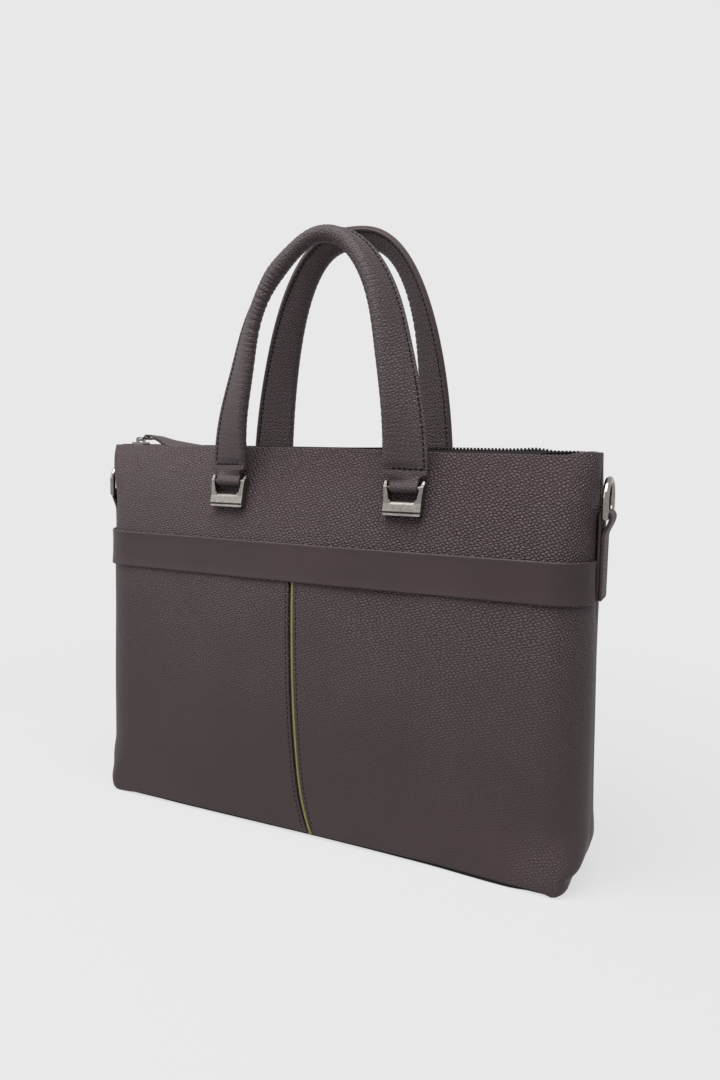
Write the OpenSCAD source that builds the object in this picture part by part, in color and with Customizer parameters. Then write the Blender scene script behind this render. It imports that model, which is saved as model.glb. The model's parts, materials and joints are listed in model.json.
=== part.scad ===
// Leather zip-top briefcase: a soft body of sewn panels with a smooth band round the
// front, two padded handles on metal brackets, a ring on a tab at each side and a
// metal zip along the mouth.
// Millimetres. X runs to the right seen from the front, Y to the back and Z up.
// The origin is the middle of the base, on the surface that the bag stands on.

/* [Body] */
// Width over the side seams at the mouth
body_w = 391; // [360:1:430]
// Height from the floor to the mouth
body_h = 290; // [280:1:320]
// Depth over the lower half
body_d = 70; // [66:1:90]
// Depth at the mouth
mouth_d = 26; // [25:1:32]
// Depth below the mouth at which the front and back start to lean in
shoulder_drop = 128; // [120:1:160]
// Corner radius in plan above the base
corner_r = 28; // [20:1:30]
// Corner radius in plan at the base
base_corner_r = 6; // [5:1:14]
// Height over which the corners grow from the one radius to the other
corner_rise = 28; // [20:1:60]
// How far each side swells out above the base
side_swell = 5.5; // [0:0.5:10]
// How far the front and back crown at the middle
face_swell = 3; // [0:0.5:8]
// Height of the rounded bottom corners
foot_rise = 36; // [24:1:45]
// How far the bottom corners draw in at each side
foot_inset = 17; // [8:1:20]
// Height of the rounded front and back bottom edges
hem_rise = 6; // [5:1:20]
// How far the front and back bottom edges draw in
hem_inset = 1; // [0.5:0.5:5]

/* [Leather and lining] */
// Thickness of the outer leather
leather_t = 1.7; // [1.2:0.1:2.2]
// Thickness of the cloth lining
lining_t = 0.8; // [0.5:0.1:1.2]
// Thickness of the stiff board over the base
board_t = 2; // [1.5:0.1:3]
// Glue line between two layers
layer_gap = 0.15; // [0.12:0.01:0.25]
// Slack between the leather and the lining
lining_gap = 0.6; // [0.5:0.05:1]
// Thickness of the padded divider
divider_t = 6; // [4:0.5:9]
// Depth of the divider's top edge below the mouth
divider_drop = 75; // [65:1:130]
// Place of the divider's middle behind the middle of the bag
divider_y = 14; // [10:0.5:18]

/* [Front band and centre seam] */
// Depth of the band's lower edge below the mouth
band_drop = 97; // [92:1:105]
// Width of the band
band_w = 28; // [20:1:30]
// Thickness of the band at its middle
band_t = 1.5; // [1.2:0.1:2]
// Extra thickness of the band's turned edges
band_lip = 0.7; // [0.3:0.1:1]
// Place of the centre seam at the band, left of the middle
seam_x = -14.6; // [-30:0.2:20]
// How far the seam drifts to the right on its way to the base
seam_drift = 11.6; // [0:0.2:16]
// Width of the channel between the two folded edges
seam_w = 4.2; // [3.6:0.1:6]
// Thickness of the contrast strip in the channel
inlay_t = 0.9; // [0.6:0.1:1.1]

/* [Handles] */
// Distance of the front handle's legs from its middle
front_leg = 71; // [62:0.5:76]
// Distance of the back handle's legs from its middle
back_leg = 69; // [62:0.5:76]
// Height of the front grip's middle above the bracket pin
front_rise = 179; // [120:1:190]
// Height of the back grip's middle above the bracket pin
back_rise = 185; // [120:1:190]
// Lean of the front handle in from upright
front_lean = 5; // [0:0.5:6]
// Lean of the back handle in from upright
back_lean = -2; // [-4:0.5:3]
// How far the front handle's legs bow out
front_bow = 6; // [0:0.5:12]
// How far the back handle's legs bow out
back_bow = 2; // [0:0.5:12]
// Power of the front arch's plan, where 1 is an ellipse and less is squarer
front_arch = 1; // [0.7:0.05:1.1]
// Power of the back arch's plan
back_arch = 0.75; // [0.7:0.05:1.1]
// Width of the strap at its feet
strap_w = 32; // [28:0.5:33]
// Width of the strap at the grip
grip_w = 20; // [16:0.5:22]
// Radius of the padded roll at the feet
foot_roll_r = 3.6; // [3.2:0.1:4]
// Radius of the padded roll at the grip
grip_roll_r = 6; // [5:0.1:7]
// Thickness of the sewn flange along the outer edge
flange_t = 4; // [3.6:0.1:4.6]
// Turn of the strap about its own length at the feet
foot_turn = 12; // [0:1:20]
// Turn of the strap about its own length at the grip
grip_turn = 60; // [30:1:70]
// Width of the tongue that loops the bracket pin
tongue_w = 20.6; // [18:0.2:21]
// Thickness of the tongue's leather
tongue_t = 1.6; // [1.4:0.1:1.8]
// Height of the strap's end above the pin
strap_end = 9; // [8.5:0.1:12]

/* [Brackets] */
// Distance of a pair of brackets from their middle
bracket_x = 71.2; // [68:0.2:74]
// Shift of the front brackets and handle from the bag's middle
front_shift = -1.7; // [-3:0.1:3]
// Depth of the brackets' lower edge below the mouth
bracket_drop = 46.2; // [44:0.2:50]
// Width over the bar
bracket_w = 27.8; // [27.6:0.2:32]
// Height over the prongs
bracket_h = 24.4; // [24:0.2:27]
// Height of the bar
bar_h = 10.5; // [8:0.1:11]
// How far the bar stands off the leather
bar_t = 5.8; // [4.5:0.1:6]
// Spread of each prong's tip past the bar
prong_flare = 1; // [0:0.1:1.4]
// Radius of the bracket pins
pin_r = 1.6; // [1.4:0.05:1.8]
// Height of the pin above the bracket's lower edge
pin_v = 19.5; // [19:0.1:20.5]
// Distance of the pin from the bracket's back
pin_off = 4.6; // [4.4:0.1:5]
// Radius of the screws behind the bar
screw_r = 1.5; // [1.2:0.1:1.8]
// Distance between the two screws of a bracket
screw_pitch = 15; // [13:0.5:16]

/* [Rings] */
// Radius of the ring wire
ring_wire_r = 2.2; // [1.6:0.1:2.2]
// Clear width inside a ring
ring_clear = 22; // [22:0.5:26]
// Straight length of a ring's legs
ring_leg = 10.5; // [8:0.5:16]
// Lean of the rings out from upright
ring_lean = 0; // [0:1:20]
// Width of the leather tabs
tab_w = 21; // [18:0.5:21.4]
// Thickness of the tabs' leather
tab_leather_t = 2; // [1.5:0.1:2.4]
// Radius of the tabs' lower corners
tab_corner_r = 3; // [1:0.5:5]
// Depth of the ring bar below the mouth
ring_drop = 41; // [38:0.5:46]

/* [Zip] */
// Distance between two teeth of one row
tooth_pitch = 2.5; // [2.4:0.05:3]
// Thickness of a tooth along the zip
tooth_t = 1.05; // [0.9:0.05:1.1]
// Height of a tooth
tooth_h = 2.6; // [2.2:0.1:2.8]
// Distance of the chain's left end from the side
left_margin = 14.5; // [13.5:0.5:30]
// Distance of the chain's right end from the side
right_margin = 13.5; // [12.5:0.5:45]
// Thickness of the woven tape
tape_t = 0.8; // [0.5:0.1:1]
// Length of the slider
slider_l = 11; // [10:0.5:13]
// Length of the link from bar to bar
link_l = 7.5; // [7:0.1:9]
// Radius of the link's wire
link_r = 0.7; // [0.6:0.05:0.8]
// Length of the leather pull from the link's bar
pull_l = 66; // [40:1:80]
// Width of the leather pull
pull_w = 11; // [8:0.5:12]

/* [Hidden] */

$fn = 48;
LEATHER = "#4e4649";
SMOOTH_LEATHER = "#4b4346";
OLIVE = "#6d6a3c";
NICKEL = "#b9b6b2";
GUNMETAL = "#6b6766";
CLOTH = "#8a8378";
TAPE = "#2f2b2c";
BOARD = "#5a5048";

// Fits
run_gap = 0.05;
side_gap = 0.3;
seat_gap = 0.6;
divider_gap = 1.2;

// Heights and places that hang from the mouth and the sides
shoulder_z = body_h - shoulder_drop;
divider_top = body_h - divider_drop;
band_z = body_h - band_drop;
bracket_z = body_h - bracket_drop;
ring_z = body_h - ring_drop;
chain_left = left_margin - body_w / 2;
chain_right = body_w / 2 - right_margin;

// Share of a half section that lies on the face, and where its corner ends
face_u = 0.8;
side_u = 0.925;
edge_u = 0.9995;
lean_power = 2.6;
face_steps = 16;
corner_steps = 4;
upper_rows = 9;
lower_rows = 10;
band_rows = 4;

// Body surface
function draw_in(t) = t >= 1 ? 0 : 1 - sqrt(1 - pow(1 - t, 2));
function half_w(z) = body_w / 2 + side_swell * pow(1 - z / body_h, 2)
    - foot_inset * draw_in(z / foot_rise);
function lean_in(z) = pow(max(0, (z - shoulder_z) / (body_h - shoulder_z)), lean_power);
function half_d(z) = body_d / 2 - (body_d - mouth_d) / 2 * lean_in(z)
    - hem_inset * draw_in(z / hem_rise);
function plan_r(z) = (base_corner_r + (corner_r - base_corner_r) * min(1, z / corner_rise))
    * half_d(z) / (body_d / 2);
function crown(t, z) = face_swell * pow(cos(90 * min(1, abs(t))), 2) * sin(180 * z / body_h);
function face_half(z) = half_w(z) - plan_r(z);
function face_y(x, z) = -half_d(z) - crown(x / face_half(z), z);
function u_at(x, z) = x / face_half(z) * face_u;

// Point of the front half shell at share u from the middle, height z and offset off
function skin_point(u, z, off) = let(
    m = abs(u), s = sign(u), b = half_d(z) + off, r = plan_r(z) + off,
    turn = 90 * (m - face_u) / (side_u - face_u))
    m <= face_u ? [s * face_half(z) * m / face_u, -b - crown(m / face_u, z), z] :
    m <= side_u ? [s * (face_half(z) + r * sin(turn)), -(b - r) - r * cos(turn), z] :
    [s * (face_half(z) + r), -(b - r) * (1 - m) / (1 - side_u), z];

// Shares across the left corner, the right corner and the whole front
function corner_us(end) = [for (i = [0:corner_steps]) end + (face_u - end) * i / corner_steps];
function flipped(us) = [for (i = [len(us) - 1:-1:0]) -us[i]];
face_us = [for (i = [1:face_steps - 1]) face_u * (2 * i / face_steps - 1)];
left_us = concat([-edge_u], -corner_us(side_u));
right_us = flipped(left_us);
full_us = concat(left_us, face_us, right_us);

function spaced(lo, hi, n) = [for (i = [0:n]) lo + (hi - lo) * i / n];
function crowded(hi, n) = [for (i = [0:n]) hi * pow(i / n, 1.8)];

// Closed slab of the shell between two offsets, over rows of heights and shares
module skin(zs, us_of, outer_of, inner) {
    m = len(zs);
    n = len(us_of(zs[0]));
    outer_pts = [for (z = zs) for (u = us_of(z)) skin_point(u, z, outer_of(z))];
    inner_pts = [for (z = zs) for (u = us_of(z)) skin_point(u, z, inner)];
    function o(i, j) = i * n + j;
    function w(i, j) = m * n + i * n + j;
    polyhedron(concat(outer_pts, inner_pts), concat(
        [for (i = [0:m - 2]) for (j = [0:n - 2]) for (t = [
            [o(i, j), o(i + 1, j), o(i + 1, j + 1)], [o(i, j), o(i + 1, j + 1), o(i, j + 1)],
            [w(i, j), w(i + 1, j + 1), w(i + 1, j)], [w(i, j), w(i, j + 1), w(i + 1, j + 1)]]) t],
        [for (j = [0:n - 2]) for (t = [
            [o(0, j), o(0, j + 1), w(0, j + 1)], [o(0, j), w(0, j + 1), w(0, j)],
            [o(m - 1, j + 1), o(m - 1, j), w(m - 1, j)],
            [o(m - 1, j + 1), w(m - 1, j), w(m - 1, j + 1)]]) t],
        [for (i = [0:m - 2]) for (t = [
            [o(i + 1, 0), o(i, 0), w(i, 0)], [o(i + 1, 0), w(i, 0), w(i + 1, 0)],
            [o(i, n - 1), o(i + 1, n - 1), w(i + 1, n - 1)],
            [o(i, n - 1), w(i + 1, n - 1), w(i, n - 1)]]) t]));
}

// Flat outline of the body at a height and offset
function outline(z, off) = let(front = [for (u = full_us) skin_point(u, z, off)]) concat(
    [for (p = front) [p[0], p[1]]], [for (p = front) [-p[0], -p[1]]]);

module to_back() rotate([0, 0, 180]) children();

// Leather body
panel_split = band_z + band_w / 2;
under_skin = -leather_t - layer_gap;
lining_out = -leather_t - lining_gap;
lining_in = lining_out - lining_t;
lower_zs = concat(crowded(shoulder_z, lower_rows), [for (i = [1:band_rows])
    shoulder_z + (panel_split - layer_gap - shoulder_z) * i / band_rows]);
function seam_mid(z) = seam_x + seam_drift * pow(max(0, 1 - z / band_z), 3);

module front_upper_panel() color(LEATHER) difference() {
    skin(spaced(panel_split + layer_gap, body_h, upper_rows), function(z) full_us,
        function(z) 0, -leather_t);
    screw_holes(front_shift);
}

// The band's ends butt against the side tabs, and its bends are those of the panels below it
function u_beside(y, z) = let(r = plan_r(z), flat_y = half_d(z) - r)
    face_u + (side_u - face_u) * acos((y - flat_y) / r) / 90;
module front_band() color(SMOOTH_LEATHER)
    skin(spaced(band_z, band_z + band_w, band_rows), function(z) let(
        corner = corner_us(side_u), ends = concat([-u_beside(tab_w / 2 + side_gap, z)],
            [for (i = [1:corner_steps]) -corner[i]]))
        concat(ends, face_us, flipped(ends)),
        function(z) layer_gap + band_t + band_lip * pow(abs(z - panel_split) / (band_w / 2), 3),
        layer_gap);

module front_left_panel() color(LEATHER)
    skin(lower_zs, function(z) let(
        end = u_at(seam_mid(z) - seam_w / 2, z))
        concat(left_us, [for (i = [1:8]) -face_u + (end + face_u) * i / 8]),
        function(z) 0, -leather_t);

module front_right_panel() color(LEATHER)
    skin(lower_zs, function(z) let(
        start = u_at(seam_mid(z) + seam_w / 2, z))
        concat([for (i = [0:7]) start + (face_u - start) * i / 8], right_us),
        function(z) 0, -leather_t);

module seam_inlay() color(OLIVE)
    skin(lower_zs, function(z) let(
        reach = seam_w / 2 - layer_gap)
        [u_at(seam_mid(z) - reach, z), u_at(seam_mid(z) + reach, z)],
        function(z) inlay_t - leather_t, -leather_t);

module back_panel() color(LEATHER) difference() {
    to_back() skin(concat(crowded(shoulder_z, lower_rows), [for (i = [1:upper_rows])
        shoulder_z + (body_h - shoulder_z) * i / upper_rows]), function(z) full_us,
        function(z) 0, -leather_t);
    to_back() screw_holes(0);
}

module base_sheet(z, t) translate([0, 0, z]) linear_extrude(t) polygon(outline(0, under_skin));
board_z = leather_t + layer_gap;
floor_z = board_z + board_t + layer_gap;
lining_z = floor_z + lining_t + layer_gap;
module base_panel() color(LEATHER) base_sheet(0, leather_t);
module base_board() color(BOARD) base_sheet(board_z, board_t);
module lining_floor() color(CLOTH) base_sheet(floor_z, lining_t);

zip_sink = 0.8;
zip_z = body_h - zip_sink;
lining_top = zip_z - tape_t / 2 - layer_gap;
module half_lining() skin(concat([for (z = crowded(shoulder_z - lining_z, 6)) z + lining_z],
    [for (i = [1:6]) shoulder_z + (lining_top - shoulder_z) * i / 6]), function(z) full_us,
    function(z) lining_out, lining_in);
module front_lining() color(CLOTH) difference() {
    half_lining();
    screw_holes(front_shift);
}
module back_lining() color(CLOTH) to_back() difference() {
    half_lining();
    screw_holes(0);
}

// Half width inside the lining at distance y from the middle
function room_x(y, z) = let(past = max(0, y - half_d(z) + plan_r(z)))
    face_half(z) + sqrt(pow(plan_r(z) + lining_in, 2) - past * past);
module padded_divider() {
    zs = concat(spaced(lining_z, foot_rise, 6), spaced(foot_rise, divider_top, 6));
    edge = [for (z = zs) [room_x(divider_y + divider_t / 2, z) - divider_gap, z]];
    color(CLOTH) translate([0, divider_y + divider_t / 2, 0]) rotate([90, 0, 0])
        linear_extrude(divider_t) polygon(concat(edge,
            [for (i = [len(edge) - 1:-1:0]) [-edge[i][0], edge[i][1]]]));
}

// Brackets, in a frame that lies on the leaning face: X across, Y up the face, Z out
face_lean = atan2(face_y(bracket_x, bracket_z + bracket_h) - face_y(bracket_x, bracket_z), bracket_h);
bracket_y = face_y(bracket_x, bracket_z) - seat_gap;
module on_face(x) translate([x, bracket_y, bracket_z]) rotate([90 - face_lean, 0, 0]) children();

boss_wall = 1.1;
boss_r = pin_r + boss_wall;
prong_in = tongue_w / 2 + side_gap;
prong_w = bracket_w / 2 - prong_in;
lip_h = 2;
lip_step = 0.8;
bar_round = 3;
tip_r = 0.9;
shoulder_r = 1.6;
pin_cover = 0.4;
function arc(c, r, from, to, n = 8) = [for (i = [0:n])
    c + r * [cos(from + (to - from) * i / n), sin(from + (to - from) * i / n)]];

// Seen from the front: bar with round lower corners, filleted shoulders, tapered prongs
module bracket_front() {
    half = bracket_w / 2;
    foot_r = 1.2;
    tip_x = half + prong_flare - tip_r;
    right = concat(arc([half - foot_r, foot_r], foot_r, -90, 0, 4), [[half, bar_h]],
        arc([tip_x, bracket_h - tip_r], tip_r, 0, 180),
        arc([prong_in - shoulder_r, bar_h + shoulder_r], shoulder_r, 0, -90, 6));
    polygon(concat(right, [for (i = [len(right) - 1:-1:0]) [-right[i][0], right[i][1]]]));
}

// Seen from the side, X out from the leather: lip and groove under the bar's front
bar_foot = [[0, 0], [bar_t - lip_step, 0], [bar_t - lip_step, lip_h - lip_step / 2],
    [bar_t - 2 * lip_step, lip_h], [bar_t, lip_h + lip_step]];
module bar_side() polygon(concat(bar_foot,
    arc([bar_t - bar_round, bar_h - bar_round], bar_round, 0, 90), [[0, bar_h]]));
module prong_side() polygon(concat(bar_foot, [[bar_t, bar_h - lip_h]],
    arc([pin_off, pin_v], boss_r, 0, 50, 4), [[pin_off + tip_r, bracket_h],
    [pin_off - tip_r, bracket_h], [0, pin_v]]));

module across(l) rotate([0, -90, 0]) linear_extrude(l, center = true) children();
module pin_bar(r) translate([0, pin_v, pin_off]) rotate([0, 90, 0])
    cylinder(r = r, h = bracket_w - 2 * pin_cover, center = true);

stack_t = seat_gap + leather_t + lining_gap + lining_t + side_gap;
screw_bite = 3;
screw_head_r = 3.2;
screw_head_t = 1.4;
module screw_bars(r) for (s = [-1, 1]) translate([s * screw_pitch / 2, bar_h / 2, -stack_t - screw_head_t])
    cylinder(r = r, h = stack_t + screw_head_t + screw_bite);
module screw_holes(shift) for (s = [-1, 1]) on_face(s * bracket_x + shift) screw_bars(screw_r + run_gap);

module bracket(x) color(NICKEL) on_face(x) difference() {
    intersection() {
        linear_extrude(pin_off + 2 * boss_r) bracket_front();
        union() {
            across(2 * bracket_w) bar_side();
            for (t = [-1, 1]) translate([t * (bracket_w + prong_in - shoulder_r), 0, 0])
                across(2 * bracket_w) prong_side();
        }
    }
    pin_bar(pin_r + run_gap / 2);
    screw_bars(screw_r + run_gap);
}
module pin(x) color(NICKEL) on_face(x) pin_bar(pin_r);
module bracket_screws(shift) color(NICKEL) for (s = [-1, 1]) on_face(s * bracket_x + shift) {
    screw_bars(screw_r);
    for (t = [-1, 1]) translate([t * screw_pitch / 2, bar_h / 2, -stack_t - screw_head_t])
        cylinder(r = screw_head_r, h = screw_head_t);
}

// Handles, in a frame on the pins' axis: X across, Y up the handle, Z out
pin_y = bracket_y + pin_v * sin(face_lean) - pin_off * cos(face_lean);
pin_z = bracket_z + pin_v * cos(face_lean) + pin_off * sin(face_lean);
module on_handle(x, lean) translate([x, pin_y, pin_z]) rotate([90 - lean, 0, 0]) children();
FRONT = [front_rise, front_bow, front_arch, front_lean, front_leg, front_shift];
BACK = [back_rise, back_bow, back_arch, back_lean, back_leg, 0];

strap_run = 5;
arch_foot = strap_end + strap_run;
arch_steps = 30;
flange_w = 8;
core_gap = 0.1;
arch_turns = concat([0], spaced(0, 180, arch_steps), [180]);
roll_open = 50;
roll_angles = spaced(roll_open, 360 - roll_open, 7);
function blend(a, b, t) = a + (b - a) * sin(t);

// Strap section at turn t, X to the sewn flange: flange, padded roll, flange
function wrap_section(t) = let(w = blend(strap_w, grip_w, t), r = blend(foot_roll_r, grip_roll_r, t),
    f = flange_t / 2, bend = max(w / 2 - flange_w, r * 2 - w / 2))
    concat([[w / 2, f], [bend, f]], [for (a = roll_angles) [r - w / 2 + r * cos(a), r * sin(a)]],
        [[bend, -f], [w / 2, -f]]);
function core_section(t, gap) = let(w = blend(strap_w, grip_w, t), r = blend(foot_roll_r, grip_roll_r, t))
    [for (a = concat([10, 30], roll_angles, [330, 350]))
        [r - w / 2 + (r - leather_t - gap) * cos(a), (r - leather_t - gap) * sin(a)]];

// Points of a section carried to ring i of arch h and turned about the strap's length
function on_arch(h, i, section) = let(t = arch_turns[i], rise = h[0] - arch_foot, power = h[2],
    c = cos(t), across = sign(c) * pow(abs(c), power),
    end = i == 0 || i == len(arch_turns) - 1,
    p = [h[4] * across, end ? strap_end : arch_foot + rise * sin(t)],
    n = [sign(c) * pow(abs(c), 2 - power) / (power * h[4]), sin(t) / rise], e = n / norm(n),
    turn = blend(foot_turn, grip_turn, t), out = h[1] * 4 * sin(t) * (1 - sin(t)))
    [for (q = section) let(along = q[0] * cos(turn) + q[1] * sin(turn))
        [p[0] + e[0] * along, p[1] + e[1] * along, out + q[1] * cos(turn) - q[0] * sin(turn)]];

module handle_wrap(h) {
    m = len(arch_turns);
    n = len(wrap_section(0));
    function o(i, k) = i * n + k % n;
    function w(i, k) = m * n + i * n + k % n;
    color(LEATHER) on_handle(h[5], h[3]) polyhedron(concat(
        [for (i = [0:m - 1]) for (p = on_arch(h, i, wrap_section(arch_turns[i]))) p],
        [for (i = [0:m - 1]) for (p = on_arch(h, i, core_section(arch_turns[i], 0))) p]), concat(
        [for (i = [0:m - 2]) for (k = [0:n - 1]) for (f = [
            [o(i, k + 1), o(i + 1, k + 1), o(i + 1, k)], [o(i, k + 1), o(i + 1, k), o(i, k)],
            [w(i, k), w(i + 1, k), w(i + 1, k + 1)], [w(i, k), w(i + 1, k + 1), w(i, k + 1)]]) f],
        [for (k = [0:n - 1]) for (f = [
            [o(0, k + 1), o(0, k), w(0, k)], [o(0, k + 1), w(0, k), w(0, k + 1)],
            [o(m - 1, k), o(m - 1, k + 1), w(m - 1, k + 1)],
            [o(m - 1, k), w(m - 1, k + 1), w(m - 1, k)]]) f]));
}
module handle_core(h) {
    m = len(arch_turns);
    n = len(core_section(0, core_gap));
    function o(i, k) = i * n + k % n;
    color(CLOTH) on_handle(h[5], h[3]) polyhedron(
        [for (i = [0:m - 1]) for (p = on_arch(h, i, core_section(arch_turns[i], core_gap))) p], concat(
        [for (i = [0:m - 2]) for (k = [0:n - 1]) for (f = [
            [o(i, k + 1), o(i + 1, k + 1), o(i + 1, k)], [o(i, k + 1), o(i + 1, k), o(i, k)]]) f],
        [[for (k = [n - 1:-1:0]) o(0, k)], [for (k = [0:n - 1]) o(m - 1, k)]]));
}

// Tongue of leg s: loop round the pin, two layers up to the strap, shoulders as wide as the strap
shoulder_h = 3.6;
tongue_top = strap_end - layer_gap;
function shoulder(edge) = [for (a = [0:15:90]) [sign(edge) * (tongue_w / 2
    + (abs(edge) - tongue_w / 2) * (1 - cos(a))), tongue_top - shoulder_h * (1 - sin(a))]];
module handle_tongue(s, h) color(LEATHER) on_handle(h[5] + s * bracket_x, h[3]) mirror([s < 0 ? 1 : 0, 0]) {
    difference() {
        union() {
            across(tongue_w) {
                circle(pin_r + run_gap + tongue_t);
                translate([-tongue_t, 0]) square([2 * tongue_t, tongue_top]);
            }
            translate([0, 0, -tongue_t]) linear_extrude(2 * tongue_t) for (e = [-1, 1])
                polygon(concat([[0, tongue_top], [0, tongue_top - shoulder_h]],
                    shoulder(h[4] - bracket_x + e * strap_w / 2)));
        }
        across(2 * tongue_w) circle(pin_r + run_gap);
    }
}

// Side tabs and rings, drawn for the right side
module at_side(s) mirror([s < 0 ? 1 : 0, 0, 0]) children();
tab_x = half_w(band_z) + layer_gap;
tab_foot = band_z + 1;
tab_slit = 0.2;
tab_drop = 14;
eye_r = ring_wire_r + run_gap + tab_leather_t;
ring_x = tab_x + eye_r;
tab_t = 2 * tab_leather_t + tab_slit;
function tab_back(t) = [for (i = [0:8]) let(q = i / 8)
    [tab_t - t + (2 * eye_r - tab_t) * (1 + cos(180 * q)) / 2, ring_z - tab_drop * q]];
module tab_front() hull() for (s = [-1, 1]) {
    translate([s * (tab_w / 2 - tab_corner_r), tab_foot + tab_corner_r]) circle(tab_corner_r);
    translate([s * tab_w / 4, ring_z]) square([tab_w / 2, 2 * eye_r], center = true);
}
module ring_tab(s) color(LEATHER) at_side(s) translate([tab_x, 0, 0]) intersection() {
    rotate([90, 0, 0]) linear_extrude(tab_w, center = true) difference() {
        polygon(concat([[0, tab_foot]], arc([eye_r, ring_z], eye_r, 180, 0, 16), tab_back(0),
            [[tab_t, tab_foot]]));
        polygon(concat([[tab_leather_t, tab_foot - 1], [tab_leather_t, ring_z]],
            tab_back(tab_leather_t), [[tab_leather_t + tab_slit, tab_foot - 1]]));
        translate([eye_r, ring_z]) circle(ring_wire_r + run_gap);
    }
    rotate([90, 0, 90]) linear_extrude(2 * eye_r) tab_front();
}

ring_half = ring_clear / 2 + ring_wire_r;
module ring(s) color(NICKEL) at_side(s) translate([ring_x, 0, ring_z]) rotate([0, ring_lean, 0]) {
    rotate([90, 0, 0]) cylinder(r = ring_wire_r, h = 2 * ring_half, center = true);
    for (t = [-1, 1]) translate([0, t * ring_half, 0]) {
        sphere(ring_wire_r);
        cylinder(r = ring_wire_r, h = ring_leg);
    }
    translate([0, 0, ring_leg]) rotate([90, 0, 90]) rotate_extrude(angle = 180)
        translate([ring_half, 0]) circle(ring_wire_r);
}

// Zip: tapes, interlocking rows of teeth, slider and pull
jaw_in = 0.6;
slot_in = 2;
jaw_out = 3.4;
head_reach = 0.9;
head_h = 1.6;
tooth_count = floor((chain_right - chain_left) / tooth_pitch);
module mouth_sheet(z, t) translate([0, 0, z]) linear_extrude(t) intersection() {
    polygon(outline(z + t, under_skin));
    children();
}
module zip_tape() color(TAPE) mouth_sheet(zip_z - tape_t / 2, tape_t)
    translate([-body_w / 2, -body_d]) square([body_w, body_d - slot_in - layer_gap]);
module tooth() across(tooth_t) polygon([[-head_h / 2, head_reach], [-tooth_h / 2, -jaw_in],
    [-tooth_h / 2, -jaw_out], [-tape_t / 2 - run_gap, -jaw_out], [-tape_t / 2 - run_gap, -slot_in],
    [tape_t / 2 + run_gap, -slot_in], [tape_t / 2 + run_gap, -jaw_out], [tooth_h / 2, -jaw_out],
    [tooth_h / 2, -jaw_in], [head_h / 2, head_reach]]);
module zip_teeth(shift) color(GUNMETAL) for (i = [0:tooth_count - 1])
    translate([chain_left + (i + 0.5 + shift) * tooth_pitch, 0, zip_z]) tooth();
stop_gap = 2;
module zip_end_stop() color(GUNMETAL) translate([chain_right + stop_gap, 0, zip_z])
    rotate([90, 0, 0]) cylinder(r = tooth_h / 2, h = 2 * slot_in, center = true);

slider_x = chain_left;
plate_t = 1.2;
plate_z = tooth_h / 2 + side_gap;
nose_w = 11.6;
tail_w = 9.6;
post_w = 2.8;
post_l = 3.4;
nose_r = 2;
cheek_w = 1;
module slider_plan(inset) polygon(concat(
    arc([nose_r - slider_l / 2, nose_w / 2 - inset - nose_r], nose_r, 180, 90, 4),
    [[slider_l / 2, tail_w / 2 - inset], [slider_l / 2, inset - tail_w / 2]],
    arc([nose_r - slider_l / 2, inset + nose_r - nose_w / 2], nose_r, 270, 180, 4)));
bail_w = 2.2;
bail_l = 8;
bail_h = 4.4;
bail_wall = 1;
hole_mid = (bail_h - bail_wall) / 2;
module bail_side() difference() {
    union() {
        translate([-bail_l / 2, 0]) square([bail_l, bail_h / 2]);
        intersection() {
            translate([-bail_l / 2, 0]) square([bail_l, bail_h]);
            translate([0, bail_h - bail_l]) circle(bail_l * 0.999);
        }
    }
    for (s = [-1, 1]) translate([s * (bail_l / 2 - bail_wall - hole_mid), hole_mid]) circle(hole_mid);
    translate([-bail_l / 2 + bail_wall + hole_mid, 0])
        square([bail_l - 2 * bail_wall - 2 * hole_mid, 2 * hole_mid]);
}
module zip_slider() color(NICKEL) translate([slider_x, 0, zip_z]) {
    for (s = [0, 1]) mirror([0, 0, s]) {
        translate([0, 0, plate_z]) linear_extrude(plate_t) slider_plan(0);
        translate([0, 0, tape_t / 2 + side_gap]) linear_extrude(plate_z - tape_t / 2 - side_gap)
            difference() {
                slider_plan(0);
                slider_plan(cheek_w);
                translate([-slider_l, -jaw_out]) square([2 * slider_l, 2 * jaw_out]);
            }
    }
    translate([plate_t - slider_l / 2, -post_w / 2, -plate_z]) cube([post_l, post_w, 2 * plate_z]);
    translate([0, 0, plate_z + plate_t]) rotate([90, 0, 0])
        linear_extrude(bail_w, center = true) bail_side();
}

link_half = 3.4;
link_rise = 20;
link_z = zip_z + plate_z + plate_t + hole_mid;
module on_link() translate([slider_x, 0, link_z]) rotate([0, -link_rise, 0]) children();
module pull_link() color(NICKEL) on_link() {
    for (x = [0, link_l]) translate([x, 0, 0]) rotate([90, 0, 0])
        cylinder(r = link_r, h = 2 * link_half, center = true);
    for (t = [-1, 1]) translate([0, t * link_half, 0]) {
        rotate([0, 90, 0]) cylinder(r = link_r, h = link_l);
        for (x = [0, link_l]) translate([x, 0, 0]) sphere(link_r);
    }
}

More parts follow.
